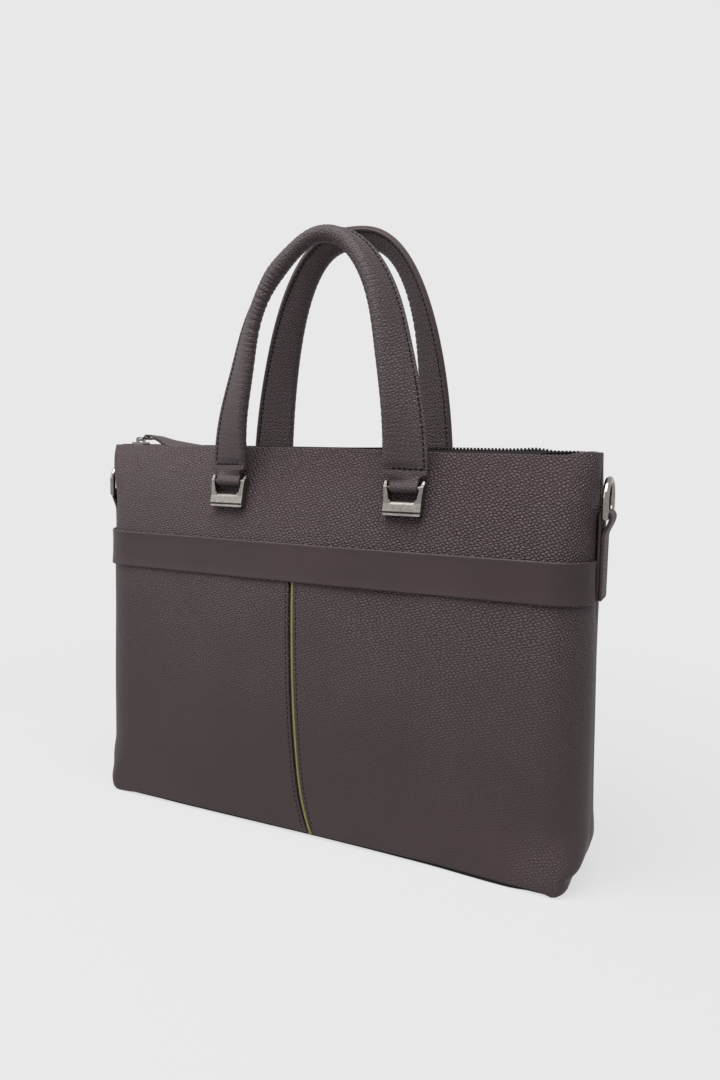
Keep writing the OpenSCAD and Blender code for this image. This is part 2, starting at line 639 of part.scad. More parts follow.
pull_t = 1.4;
neck_w = 2 * (link_half - link_r) - 2 * side_gap;
neck_l = 5;
flare_l = 8;
pull_dip = 3;
module pull_tab() color(LEATHER) on_link() translate([link_l, 0, 0]) rotate([0, link_rise + pull_dip, 0])
    difference() {
        union() {
            rotate([90, 0, 0]) linear_extrude(neck_w, center = true) {
                circle(link_r + run_gap + pull_t);
                translate([0, -pull_t]) square([neck_l, 2 * pull_t]);
            }
            translate([0, 0, -pull_t]) linear_extrude(2 * pull_t) for (s = [0, 1]) mirror([0, s])
                polygon(concat([[neck_l - 1, 0]], [for (i = [0:8]) [neck_l - 1 + flare_l * i / 8,
                    neck_w / 2 + (pull_w - neck_w) / 2 * (1 - cos(180 * i / 8)) / 2]],
                    arc([pull_l - pull_w / 2, 0], pull_w / 2, 90, 0)));
        }
        rotate([90, 0, 0]) cylinder(r = link_r + run_gap, h = 2 * pull_w, center = true);
    }

end_tab_t = 1.5;
stop_room = 5;
module end_tab(from, to) color(LEATHER) mouth_sheet(zip_z + tape_t / 2 + layer_gap, end_tab_t)
    translate([from, -body_d]) square([to - from, 2 * body_d]);

front_upper_panel();
front_band();
front_left_panel();
front_right_panel();
seam_inlay();
back_panel();
base_panel();
base_board();
lining_floor();
front_lining();
back_lining();
padded_divider();
bracket(front_shift - bracket_x);  // bracket_front_left
bracket(front_shift + bracket_x);  // bracket_front_right
to_back() bracket(bracket_x);  // bracket_back_left
to_back() bracket(-bracket_x);  // bracket_back_right
pin(front_shift - bracket_x);  // pin_front_left
pin(front_shift + bracket_x);  // pin_front_right
to_back() pin(bracket_x);  // pin_back_left
to_back() pin(-bracket_x);  // pin_back_right
bracket_screws(front_shift);  // front_bracket_screws
to_back() bracket_screws(0);  // back_bracket_screws
handle_wrap(FRONT);  // front_handle_wrap
handle_core(FRONT);  // front_handle_core
handle_tongue(-1, FRONT);  // front_handle_tongue_left
handle_tongue(1, FRONT);  // front_handle_tongue_right
to_back() handle_wrap(BACK);  // back_handle_wrap
to_back() handle_core(BACK);  // back_handle_core
to_back() handle_tongue(1, BACK);  // back_handle_tongue_left
to_back() handle_tongue(-1, BACK);  // back_handle_tongue_right
ring_tab(-1);  // ring_tab_left
ring_tab(1);  // ring_tab_right
ring(-1);  // ring_left
ring(1);  // ring_right
zip_tape();  // zip_tape_front
to_back() zip_tape();  // zip_tape_back
zip_teeth(0);  // zip_teeth_front
mirror([0, 1, 0]) zip_teeth(0.5);  // zip_teeth_back
zip_end_stop();
end_tab(-body_w, slider_x - slider_l / 2 - side_gap);  // zip_end_tab_left
end_tab(chain_right + stop_room, body_w);  // zip_end_tab_right
zip_slider();
pull_link();
pull_tab();
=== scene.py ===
import json
import math

import bmesh
import bpy
import numpy as np
from mathutils import Matrix, Vector


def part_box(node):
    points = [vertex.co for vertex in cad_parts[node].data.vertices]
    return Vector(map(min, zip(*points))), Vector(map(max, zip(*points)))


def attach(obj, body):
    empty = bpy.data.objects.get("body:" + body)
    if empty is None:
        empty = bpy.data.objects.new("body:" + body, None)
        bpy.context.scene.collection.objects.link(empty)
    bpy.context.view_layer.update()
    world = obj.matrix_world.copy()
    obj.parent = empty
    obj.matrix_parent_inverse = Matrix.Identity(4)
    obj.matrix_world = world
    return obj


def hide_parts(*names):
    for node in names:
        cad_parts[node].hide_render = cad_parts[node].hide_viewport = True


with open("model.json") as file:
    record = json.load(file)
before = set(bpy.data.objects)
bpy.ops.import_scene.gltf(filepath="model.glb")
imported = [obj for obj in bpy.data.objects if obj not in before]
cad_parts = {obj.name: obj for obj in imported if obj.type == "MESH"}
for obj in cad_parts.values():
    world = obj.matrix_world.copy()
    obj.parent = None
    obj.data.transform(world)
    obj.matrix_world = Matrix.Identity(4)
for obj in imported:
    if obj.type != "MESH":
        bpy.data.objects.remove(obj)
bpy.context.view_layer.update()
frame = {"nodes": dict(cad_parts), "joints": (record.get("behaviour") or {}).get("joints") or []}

# Pieces are drawn in millimetres and turned to metres when their mesh is made
MM = 0.001


def box_mm(node):
    return [np.array(corner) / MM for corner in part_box(node)]


def pivot_mm(joint):
    return np.array([j for j in frame["joints"] if j["name"] == joint][0]["pos_m"]) / MM


# Body surface, as the part's source draws it, with its corners and foot fitted closer to the object
BODY_W = 391
BODY_H = box_mm("back_panel")[1][2]
BODY_D = 70
MOUTH_D = 26
SHOULDER_Z = 162
LEAN_POWER = 2.6
CORNER_R = 28
BASE_CORNER_R = 6
CORNER_RISE = 46
SIDE_SWELL = 5.5
FACE_SWELL = 3
FOOT_RISE = 39
FOOT_INSET = 17
HEM_RISE = 6
HEM_INSET = 1
# Shares of the way from the middle of a face to the side seam, where a corner starts and ends
FACE_U = 0.8
SIDE_U = 0.925
# Turns what is drawn as a front half into the back half
HALF_TURN = np.array([-1, -1, 1])

# Shape fitted to the photo: left mouth corners creased and drawn out between two heights, base corners
# drawn in, and the front right one pushed forward
CREASE_Z = (240, 288)
LEFT_SHARP = 0.62
LEFT_PULL = 2.5
LEFT_PINCH = 2.8
LEFT_FLARE = 2
RIGHT_PINCH = 3.2
FOOT_PUSH = 3.2
FOOT_PUSH_RISE = 25
# Slow waves of a stuffed face: height, lengths across and up, and start
SOFT_WAVES = [(0.35, 41, 57, 0.4), (0.25, 23, -34, 1.9), (0.16, 15, 19, 4.1)]
# Distance from an edge over which the waves die out
CALM = 25
# Millimetres of wall that a share of 1 stands for in the waves
FACE_MM = 240

# Layers
LEATHER_T = 1.7
RIM = LEATHER_T / 2
LAYER_GAP = 0.15
LINING_T = 0.8
LINING_OUT = -2.3
FLOOR_INSET = 2.2
BASE_STEP = 2.4
BASE_INSET = 2.2
HEM_Z = 0.1
HEM_LIFT_TOP = 30
DIVIDER_GAP = 1.2
DIVIDER_SLOPE = 14

# Mouth: how far its corners are lapped down, and its right half let down so that the zip is bared
CORNER_LAP = 3.5
MOUTH_BEND = 30
FRONT_SAG = 1.9
BACK_SAG = 2.0

# Band and seam
BAND_Z = box_mm("front_band")[0][2]
BAND_TOP = box_mm("front_band")[1][2]
BAND_MID = (BAND_Z + BAND_TOP) / 2
BAND_T = 1.5
BAND_LIP = 0.7
BAND_RIM = 1.0
SEAM_X = -14.6
SEAM_DRIFT = 11.6
SEAM_CURL = 4
SEAM_CURL_RISE = 45
SEAM_W = 4.2
SEAM_STITCH = 2.2
SEAM_VALLEY = 0.4
# Distances from the seam's folded edge at which the lower panels have a column of points
SEAM_FINE = np.array([5.2, 4.2, 3.5, 3.0, 2.6, 2.2, 1.8, 1.4, 1.1])

# Handles
STRAP_W = 32
GRIP_W = 20
FOOT_ROLL_R = 3.6
GRIP_ROLL_R = 6
FLANGE_T = 4
FOOT_TURN = 12
GRIP_TURN = 60
STRAP_END = 9
ARCH_FOOT = 14
STITCH_IN = 2.7
LAP_TOP = 12.5
BRACKET_X = 71.2
TONGUE_W = 20.6
TONGUE_T = 1.6
PIN_R = 1.6
SHOULDER_H = 3.6
PIN = pivot_mm("front_handle_swing")
# Bends fitted to the photo: angle on the arch, reach in degrees, shift across and up
HANDLES = {
    "front": {"rise": 179, "bow": 6, "power": 1, "lean": 5, "leg": 71, "shift": -1.7, "wind": 1.25,
              "knuckle": 1.0,
              "bends": [(156, 13, 3.6, 0), (113, 13, 0, -2.2), (28, 14, -1.8, 0)]},
    "back": {"rise": 185, "bow": 2, "power": 0.75, "lean": -2, "leg": 69, "shift": 0, "wind": 1,
             "knuckle": 0,
             "bends": []},
}
# Where a handle's knuckle thickens its roll: angle on the arch and reach in degrees
KNUCKLE = (122, 9)
# Cross folds of the roll: angle on the arch, reach in degrees and share of the depth
CREASED = [(137, 16, 1), (95, 22, 0.8), (45, 16, 0.45), (170, 13, 0.35), (11, 13, 0.3)]
CREASE_DEEP = 0.9
ARCH_R = 110
ARCH_STEPS = 460
# Share of the strap's thickness left between the tongue's two ends, which are sewn over it
LAP_CORE = 0.18
# Heights of the rows of points below the arch, and the row from which the strap is stitched
FOOT_ROWS = np.array([9.0, 10.5, 12.0, 12.5, 12.7, 13.2, 14.0])
STITCH_ROW = 5

# Side tabs
TAB_W = 21
TAB_T = 2
TAB_CORNER_R = 1.8
TAB_DROP = 14
TAB_SLIT = 0.2
RING_WIRE_R = 2.2
RING = pivot_mm("right_ring_swing")
# Play of a leather loop round its bar
LOOP_GAP = 0.05

# Zip
TAPE_T = 0.8
ZIP_Z = BODY_H - 0.8
CHAIN_HALF = 2.15
TOOTH_RAISE = 0.9
PULL_T = 1.4
PULL_L = 66
PULL_W = 11
PULL_NECK = 2.4
PULL_DIP = 7.0
PULL_ROLL = 32
PULL_SWING = 8.3
PULL_SINK = 11
PULL = pivot_mm("pull_lift")
LINK_R = 0.7
END_TAB_T = 0.8

# Sewing
STITCH_PITCH = 3.8
STITCH_L = 2.9
THREAD_R = 0.55

RIM_TURNS = np.linspace(0, math.pi / 2, 5)


# Materials

def linear(hex_colour):
    """An sRGB hex colour as the linear values that a shader takes."""
    parts = [int(hex_colour[i:i + 2], 16) / 255 for i in (1, 3, 5)]
    return [c / 12.92 if c <= 0.04045 else ((c + 0.055) / 1.055) ** 2.4 for c in parts] + [1]


def add_node(tree, kind, inputs=None, **settings):
    """Adds a node. Each input is a value or another node's output."""
    made = tree.nodes.new("ShaderNode" + kind)
    for name, value in settings.items():
        setattr(made, name, value)
    for socket, value in (inputs or {}).items():
        if isinstance(value, bpy.types.NodeSocket):
            tree.links.new(value, made.inputs[socket])
        else:
            made.inputs[socket].default_value = value
    return made


def start_material(name):
    """An empty material, its node tree and the place on the piece that patterns follow."""
    material = bpy.data.materials.new(name)
    material.use_nodes = True
    tree = material.node_tree
    tree.nodes.clear()
    place = add_node(tree, "TexCoord").outputs["Object"]
    return material, tree, place


def end_material(tree, **sockets):
    """Closes a material with the one shader that it shows."""
    inputs = {name.replace("_", " "): value for name, value in sockets.items()}
    shader = add_node(tree, "BsdfPrincipled", inputs)
    add_node(tree, "OutputMaterial", {"Surface": shader.outputs["BSDF"]})


# Refraction and shine of finished leather
LEATHER_IOR = 1.48
LEATHER_SHINE = 0.34
# Tumbled grain: pebbles, wider than high, in rows that sway. It is drawn deeper than the real grain,
# so that it shows under soft light
PEBBLE_MM = 2.4
PEBBLE_DEEP_MM = 1.8
PEBBLE_SHAPE = (0.95, 1.25, 1)
ROW_SLANT = math.radians(-28)
SWAY_MM = 9
SWAY_PUSH_MM = 1.8
# Patches of firmer hide and clouds of dye
ZONE_MM = 60
CLOUD_MM = 45
FOLD_MM = 3.2
# Pores are really about a tenth of a millimetre wide, and are drawn coarser to show
PORE_MM = 0.6
PLATE_PORE_MM = 0.7
PLATE_DEEP_MM = 0.05
# Half the width of the bag, round which the hide is laid
WALL_TURN = 190 * MM
# Length of one band of a wave texture at a scale of 1
WAVE = math.pi / 10
# Heights and ways across the bag over which the grain firms up
GRAIN_Z = (30, 240)
GRAIN_X = (-200, 100)
# Where the grain is drawn up above the front right corner of the base, in metres
DRAWN_CORNER = (0.174, -0.033, 0.02)
DRAWN_REACH = (0.004, 0.026)


def unrolled(tree, axes):
    """Places on the bag's wall laid flat: the way round the bag, then the height. The corners are
    carried round, so that pebbles keep their width on the ends of the bag."""
    depth = add_node(tree, "Math", {0: axes.outputs["Y"]}, operation="ABSOLUTE")
    turn = add_node(tree, "Math", {0: depth.outputs["Value"], 1: -1 / WALL_TURN, 2: 1.0},
                    operation="MULTIPLY_ADD")
    way = add_node(tree, "Math", {0: axes.outputs["X"], 1: turn.outputs["Value"]}, operation="MULTIPLY")
    flat = add_node(tree, "CombineXYZ", {"X": way.outputs["Value"], "Y": axes.outputs["Z"]})
    return flat.outputs["Vector"]


def grain_left(tree, place, axes, zones, low, high):
    """How much of the grain shows: less where the hide is stretched, towards the base and the left,
    and more where it is drawn up at the corner."""
    level = add_node(tree, "MapRange", {
        "Value": axes.outputs["Z"], "From Min": GRAIN_Z[0] * MM, "From Max": GRAIN_Z[1] * MM,
        "To Min": low, "To Max": high})
    side = add_node(tree, "MapRange", {
        "Value": axes.outputs["X"], "From Min": GRAIN_X[0] * MM, "From Max": GRAIN_X[1] * MM,
        "To Min": 0.4, "To Max": 1.0})
    spread = add_node(tree, "Math", {0: level.outputs["Result"], 1: side.outputs["Result"]},
                      operation="MULTIPLY")
    corner = add_node(tree, "VectorMath", {0: place, 1: DRAWN_CORNER}, operation="DISTANCE")
    drawn = add_node(tree, "MapRange", {
        "Value": corner.outputs["Value"], "From Min": DRAWN_REACH[0], "From Max": DRAWN_REACH[1],
        "To Min": 0.34, "To Max": 0.0})
    local = add_node(tree, "Math", {0: spread.outputs["Value"], 1: drawn.outputs["Result"]}, operation="ADD")
    patchy = add_node(tree, "MapRange", {
        "Value": zones.outputs["Fac"], "From Min": 0.32, "From Max": 0.68, "To Min": 0.84, "To Max": 1.12})
    firm = add_node(tree, "Math", {0: local.outputs["Value"], 1: patchy.outputs["Result"]},
                    operation="MULTIPLY", use_clamp=True)
    return firm.outputs["Value"]


def tumbled_leather(name, crease_shade, face, low, high, wrinkle):
    """Drum-tumbled leather: rounded pebbles in slanting rows, satin finish. Shade is painted into the creases
    between the pebbles, and a highlight onto their crests.
    low and high are how much of the grain is left near the base and near the mouth. wrinkle is the
    share of fine folds across the strap where a handle is bent."""
    material, tree, place = start_material(name)
    axes = add_node(tree, "SeparateXYZ", {"Vector": place})
    sway = add_node(tree, "TexNoise", {"Vector": place, "Scale": 1 / (SWAY_MM * MM), "Detail": 1.0})
    push = add_node(tree, "VectorMath", {0: sway.outputs["Color"], 1: (SWAY_PUSH_MM * MM,) * 3},
                    operation="MULTIPLY")
    bent = add_node(tree, "VectorMath", {0: unrolled(tree, axes), 1: push.outputs["Vector"]}, operation="ADD")
    rows = add_node(tree, "Mapping", {
        "Vector": bent.outputs["Vector"], "Rotation": (0, 0, ROW_SLANT), "Scale": PEBBLE_SHAPE})
    cells = add_node(tree, "TexVoronoi", {
        "Vector": rows.outputs["Vector"], "Scale": 1 / (PEBBLE_MM * MM), "Randomness": 0.62},
        feature="DISTANCE_TO_EDGE", voronoi_dimensions="2D")
    from_edge = cells.outputs["Distance"]
    dome = add_node(tree, "Math", {0: from_edge, 1: 0.6}, operation="POWER")
    pebble = add_node(tree, "MapRange", {"Value": from_edge, "From Min": 0.0, "From Max": 0.3},
                      interpolation_type="SMOOTHSTEP")
    pores = add_node(tree, "TexNoise", {"Vector": place, "Scale": 1 / (PORE_MM * MM), "Detail": 2.0})
    zones = add_node(tree, "TexNoise", {"Vector": place, "Scale": 1 / (ZONE_MM * MM), "Detail": 2.0})
    firm = grain_left(tree, place, axes, zones, low, high)
    grain = add_node(tree, "Math", {0: pores.outputs["Fac"], 1: 0.2, 2: dome.outputs["Value"]},
                     operation="MULTIPLY_ADD")
    folds = add_node(tree, "TexWave", {"Vector": place, "Scale": WAVE / (FOLD_MM * MM), "Distortion": 8.0,
                                       "Detail": 2.0, "Detail Scale": 0.6}, bands_direction="Z")
    height = add_node(tree, "Math", {0: folds.outputs["Fac"], 1: wrinkle, 2: grain.outputs["Value"]},
                      operation="MULTIPLY_ADD")
    bump = add_node(tree, "Bump", {"Height": height.outputs["Value"], "Distance": PEBBLE_DEEP_MM * MM,
                                   "Strength": firm})
    # Painted shade: near the cell edges the colour turns to the crease colour, which stands for the shade in
    # the creases between pebbles.
    gap = add_node(tree, "MapRange", {
        "Value": from_edge, "From Min": 0.0, "From Max": 0.12, "To Min": 0.8, "To Max": 0.0})
    crease_shade_share = add_node(tree, "Math", {0: gap.outputs["Result"], 1: firm}, operation="MULTIPLY")
    surface_tone = add_node(tree, "Mix", {0: crease_shade_share.outputs["Value"], 6: linear(face), 7: linear(crease_shade)},
                    data_type="RGBA")
    cloud = add_node(tree, "MapRange", {
        "Value": zones.outputs["Fac"], "From Min": 0.3, "From Max": 0.7, "To Min": 0.93, "To Max": 1.07})
    # Painted highlight: the crests are made up to about twice as light, partly the polish of rubbed tops and
    # mostly the light that falls on them. The dye clouds vary the tone at random.
    crest = add_node(tree, "Math", {0: pebble.outputs["Result"], 1: firm}, operation="MULTIPLY")
    rubbed_highlight_and_clouds = add_node(tree, "Math", {0: crest.outputs["Value"], 1: 0.95, 2: cloud.outputs["Result"]},
                      operation="MULTIPLY_ADD")
    colour = add_node(tree, "VectorMath", {0: surface_tone.outputs[2], "Scale": rubbed_highlight_and_clouds.outputs["Value"]},
                      operation="SCALE")
    gloss = add_node(tree, "MapRange", {"Value": pores.outputs["Fac"], "To Min": 0.6, "To Max": 0.44})
    end_material(tree, Base_Color=colour.outputs["Vector"], Roughness=gloss.outputs["Result"],
                 IOR=LEATHER_IOR, Specular_IOR_Level=LEATHER_SHINE, Normal=bump.outputs["Normal"])
    return material


def plated_leather(name, colour, roughness):
    """Leather pressed smooth under a hot plate: fine pores, even satin, faint clouds of dye."""
    material, tree, place = start_material(name)
    pores = add_node(tree, "TexVoronoi", {"Vector": place, "Scale": 1 / (PLATE_PORE_MM * MM)}, feature="F1")
    fibre = add_node(tree, "TexNoise", {"Vector": place, "Scale": 1 / (4 * MM), "Detail": 3.0})
    height = add_node(tree, "Math", {0: fibre.outputs["Fac"], 1: 0.6, 2: pores.outputs["Distance"]},
                      operation="MULTIPLY_ADD")
    bump = add_node(tree, "Bump", {"Height": height.outputs["Value"], "Distance": PLATE_DEEP_MM * MM,
                                   "Strength": 1.0})
    clouds = add_node(tree, "TexNoise", {"Vector": place, "Scale": 1 / (CLOUD_MM * MM), "Detail": 2.0})
    shade = add_node(tree, "MapRange", {
        "Value": clouds.outputs["Fac"], "From Min": 0.3, "From Max": 0.7, "To Min": 0.9, "To Max": 1.1})
    surface_tone = add_node(tree, "VectorMath", {0: linear(colour)[:3], "Scale": shade.outputs["Result"]},
                    operation="SCALE")
    gloss = add_node(tree, "MapRange", {
        "Value": fibre.outputs["Fac"], "To Min": roughness - 0.06, "To Max": roughness + 0.06})
    end_material(tree, Base_Color=surface_tone.outputs["Vector"], Roughness=gloss.outputs["Result"],
                 IOR=LEATHER_IOR, Specular_IOR_Level=LEATHER_SHINE, Normal=bump.outputs["Normal"])
    return material


def painted_edge():
    """Cut edge of leather under a coat of edge paint: warm brown with streaks of fibre."""
    material, tree, place = start_material("painted_cut_edge")
    fibre = add_node(tree, "TexNoise", {"Vector": place, "Scale": 1 / (1.2 * MM), "Detail": 3.0})
    colour = add_node(tree, "Mix", {0: fibre.outputs["Fac"], 6: linear("#281c1d"), 7: linear("#463636")},
                      data_type="RGBA")
    bump = add_node(tree, "Bump", {"Height": fibre.outputs["Fac"], "Distance": 0.12 * MM})
    end_material(tree, Base_Color=colour.outputs[2], Roughness=0.55, IOR=LEATHER_IOR,
                 Specular_IOR_Level=LEATHER_SHINE, Normal=bump.outputs["Normal"])
    return material


def sewing_thread():
    """Bonded nylon thread: near black, two plies whose twist shows as slanting ridges, with painted light on
    the ridges and painted shade between them.
    """
    material, tree, place = start_material("bonded_nylon_thread")
    plies = add_node(tree, "TexWave", {"Vector": place, "Scale": 1 / (2.4 * MM), "Distortion": 0.4},
                     bands_direction="DIAGONAL")
    # Painted light and shade: the colour follows the ridges of the twist, lighter on them and darker between.
    colour = add_node(tree, "Mix", {0: plies.outputs["Fac"], 6: linear("#050404"), 7: linear("#0f0c0c")},
                      data_type="RGBA")
    bump = add_node(tree, "Bump", {"Height": plies.outputs["Fac"], "Distance": 0.1 * MM})
    end_material(tree, Base_Color=colour.outputs[2], Roughness=0.75, IOR=1.53, Specular_IOR_Level=0.2,
                 Normal=bump.outputs["Normal"])
    return material


def brushed_nickel(name, dark, light, roughness, streak_mm):
    """Nickel plate brushed along its length, with darker antiquing left in the scratches. Real brush
    marks are finer than a tenth of a millimetre, and the streaks are drawn coarser to show."""
    material, tree, place = start_material(name)
    along = add_node(tree, "Mapping", {"Vector": place, "Scale": (0.12, 1, 1)})
    streaks = add_node(tree, "TexNoise", {"Vector": along.outputs["Vector"],
                                          "Scale": 1 / (streak_mm * MM), "Detail": 4.0})
    stain = add_node(tree, "TexNoise", {"Vector": place, "Scale": 1 / (3 * MM), "Detail": 3.0})
    mottle = add_node(tree, "Math", {0: streaks.outputs["Fac"], 1: stain.outputs["Fac"]},
                      operation="MULTIPLY")
    share = add_node(tree, "MapRange", {"Value": mottle.outputs["Value"], "From Min": 0.12, "From Max": 0.36})
    colour = add_node(tree, "Mix", {0: share.outputs["Result"], 6: linear(dark), 7: linear(light)},
                      data_type="RGBA")
    rough = add_node(tree, "MapRange", {
        "Value": streaks.outputs["Fac"], "To Min": roughness + 0.1, "To Max": roughness - 0.1})
    bump = add_node(tree, "Bump", {"Height": streaks.outputs["Fac"], "Distance": 0.02 * MM})
    end_material(tree, Base_Color=colour.outputs[2], Metallic=1.0, Roughness=rough.outputs["Result"],
                 Normal=bump.outputs["Normal"])
    return material


def woven_cloth(name, dark, light, thread_mm):
    """Plain weave: threads cross over and under, so the cloth is dotted light and dark, with painted light on
    the crowns of the threads and painted shade in the hollows between them. Its threads are drawn about twice
    as coarse as real ones, to show."""
    material, tree, place = start_material(name)
    scale = 1 / (thread_mm * 2 * math.pi * MM)
    warp = add_node(tree, "TexWave", {"Vector": place, "Scale": scale}, bands_direction="X")
    weft = add_node(tree, "TexWave", {"Vector": place, "Scale": scale}, bands_direction="Z")
    weave = add_node(tree, "Math", {0: warp.outputs["Fac"], 1: weft.outputs["Fac"]}, operation="MULTIPLY")
    fuzz = add_node(tree, "TexNoise", {"Vector": place, "Scale": 1 / (0.8 * MM), "Detail": 2.0})
    height = add_node(tree, "Math", {0: fuzz.outputs["Fac"], 1: 0.4, 2: weave.outputs["Value"]},
                      operation="MULTIPLY_ADD")
    # Painted light and shade: the colour follows the weave's height, light on the crowns and dark in the
    # hollows, with some random fuzz.
    colour = add_node(tree, "Mix", {0: height.outputs["Value"], 6: linear(dark), 7: linear(light)},
                      data_type="RGBA")
    bump = add_node(tree, "Bump", {"Height": height.outputs["Value"], "Distance": 0.15 * MM})
    end_material(tree, Base_Color=colour.outputs[2], Roughness=0.85, IOR=1.5, Specular_IOR_Level=0.15,
                 Normal=bump.outputs["Normal"])
    return material


def fibre_board():
    """Pressed fibre board: flat brown with dark and pale flecks of pulp."""
    material, tree, place = start_material("pressed_fibre_board")
    flecks = add_node(tree, "TexNoise", {"Vector": place, "Scale": 1 / (1.5 * MM), "Detail": 4.0})
    colour = add_node(tree, "Mix", {0: flecks.outputs["Fac"], 6: linear("#3e362e"), 7: linear("#6d6154")},
                      data_type="RGBA")
    bump = add_node(tree, "Bump", {"Height": flecks.outputs["Fac"], "Distance": 0.1 * MM})
    end_material(tree, Base_Color=colour.outputs[2], Roughness=0.8, IOR=1.5,
                 Normal=bump.outputs["Normal"])
    return material


# The first colour of each tumbled leather is the painted shade of its creases.
pebbled = tumbled_leather("tumbled_leather", "#100a0b", "#392d2f", 0.2, 1.0, 0.0)
handle_leather = tumbled_leather("tumbled_handle_leather", "#100a0b", "#3a2f31", 0.45, 0.45, 0.2)
smooth = plated_leather("plated_leather", "#362a2c", 0.46)
# Near black: the base panel's own dark leather, with the shade of the gap under the lifted hem painted in.
base_leather = plated_leather("base_leather_painted_shade", "#070505", 0.8)
olive = plated_leather("olive_plated_leather", "#7c7b4c", 0.5)
edge_paint = painted_edge()
thread = sewing_thread()
satin_nickel = brushed_nickel("brushed_antique_nickel", "#6b6864", "#827e79", 0.42, 0.3)
bright_nickel = brushed_nickel("polished_nickel", "#7d7873", "#99948e", 0.1, 0.5)
gunmetal = brushed_nickel("gunmetal_plated_brass", "#1b1918", "#45403d", 0.4, 0.6)
zip_cloth = woven_cloth("woven_polyester_tape", "#0d0b0b", "#1f1a1b", 0.5)
lining_cloth = woven_cloth("plain_woven_lining", "#6a6055", "#8f8576", 0.6)
cotton = woven_cloth("cotton_cord", "#8d8474", "#c2b8a6", 0.9)
board = fibre_board()


# Meshes

def add_piece(name, points, faces, body, materials, nodes=(), trim=()):
    """Makes a closed mesh a piece of the bag. Faces of its trim take the second material."""
    mesh = bpy.data.meshes.new(name)
    mesh.from_pydata((np.asarray(points, float) * MM).tolist(), [], list(faces) + list(trim))
    for material in materials:
        mesh.materials.append(material)
    for polygon in mesh.polygons[len(faces):]:
        polygon.material_index = 1
    work = bmesh.new()
    work.from_mesh(mesh)
    bmesh.ops.remove_doubles(work, verts=work.verts, dist=1e-7)
    bmesh.ops.recalc_face_normals(work, faces=work.faces)
    work.to_mesh(mesh)
    work.free()
    mesh.shade_smooth()
    piece = bpy.data.objects.new(name, mesh)
    bpy.context.scene.collection.objects.link(piece)
    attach(piece, body)
    if nodes:
        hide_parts(*nodes)
    return piece


def grid_faces(rows, columns, first=0, closed=False):
    """Quads of a grid of points, row by row. A closed grid joins its last column to its first."""
    steps = columns if closed else columns - 1
    return [(first + i * columns + j, first + i * columns + (j + 1) % columns,
             first + (i + 1) * columns + (j + 1) % columns, first + (i + 1) * columns + j)
            for i in range(rows - 1) for j in range(steps)]


def sheet_faces(rows, columns):
    """Faces of both sides of a sheet, whose points meet at its rim."""
    return grid_faces(rows, columns) + [f[::-1] for f in grid_faces(rows, columns, rows * columns)]


def end_caps(rows, columns, first=0):
    """The two faces that close a tube."""
    last = first + (rows - 1) * columns
    return [tuple(range(first, first + columns)), tuple(range(last, last + columns))]


def sort_faces(faces, columns, chosen):
    """A tube's faces in two lists: those whose column is chosen, and the rest."""
    marks = [chosen(i % columns) for i in range(len(faces))]
    return ([f for f, mark in zip(faces, marks) if mark], [f for f, mark in zip(faces, marks) if not mark])


def edged(lo, hi, steps, rim):
    """Stations from lo to hi that crowd into a round rim at both ends, and how full the sheet is there."""
    rise = rim * (1 - np.cos(RIM_TURNS))
    places = np.concatenate([lo + rise, np.linspace(lo + rim, hi - rim, steps + 1)[1:-1], (hi - rise)[::-1]])
    full = np.concatenate([np.sin(RIM_TURNS), np.ones(steps - 1), np.sin(RIM_TURNS)[::-1]])
    return places, full


def rimmed(count):
    """How full a sheet is at each of its columns, with a round rim at both sides."""
    full = np.ones(count)
    full[:len(RIM_TURNS)] = np.sin(RIM_TURNS)
    full[-len(RIM_TURNS):] = np.sin(RIM_TURNS)[::-1]
    return full


def ramp(t, start, end):
    """Rises smoothly from 0 at start to 1 at end."""
    t = np.clip((t - start) / (end - start), 0, 1)
    return t * t * (3 - 2 * t)


def window(t, start, full, fall, end):
    """Rises smoothly from start to full and falls again from fall to end."""
    return ramp(t, start, full) * (1 - ramp(t, fall, end))


def bell(t, middle, reach):
    return np.exp(-((t - middle) / reach) ** 2)


def unit(v):
    return v / np.linalg.norm(v, axis=-1, keepdims=True)


def lengths(path):
    """Length of a path up to each of its points."""
    return np.r_[0, np.cumsum(np.linalg.norm(np.diff(path, axis=0), axis=1))]


def on_path(places, steps, values):
    """Vectors given at the points of a path, read at other lengths along it."""
    return np.stack([np.interp(places, steps, values[:, k]) for k in range(3)], -1)


# Body surface

def draw_in(t):
    short = np.clip(1 - t, 0, 1)
    return 1 - np.sqrt(1 - short * short)


def half_w(z):
    return BODY_W / 2 + SIDE_SWELL * (1 - z / BODY_H) ** 2 - FOOT_INSET * draw_in(z / FOOT_RISE)


def half_d(z):
    lean = np.clip((z - SHOULDER_Z) / (BODY_H - SHOULDER_Z), 0, None) ** LEAN_POWER
    return BODY_D / 2 - (BODY_D - MOUTH_D) / 2 * lean - HEM_INSET * draw_in(z / HEM_RISE)


def plan_r(z, side=1):
    """Corner radius at a height. The left corners of the mouth are creased sharper."""
    grown = BASE_CORNER_R + (CORNER_R - BASE_CORNER_R) * ramp(z, 0, CORNER_RISE)
    sharp = np.where(np.asarray(side) < 0, LEFT_SHARP * ramp(z, *CREASE_Z), 0)
    return grown * half_d(z) / (BODY_D / 2) * (1 - sharp)


def crown(t, z):
    return FACE_SWELL * np.cos(math.pi / 2 * np.minimum(1, np.abs(t))) ** 2 * np.sin(math.pi * z / BODY_H)


def face_half(z, side=1):
    return half_w(z) - plan_r(z, side)


def pinch(z, side):
    """How far the corners of the base are drawn in by the turned hem, left and right."""
    left = LEFT_PINCH * bell(z, 19, 10) - LEFT_FLARE * bell(z, 0, 4)
    return np.where(side < 0, left, RIGHT_PINCH * bell(z, 10, 5))


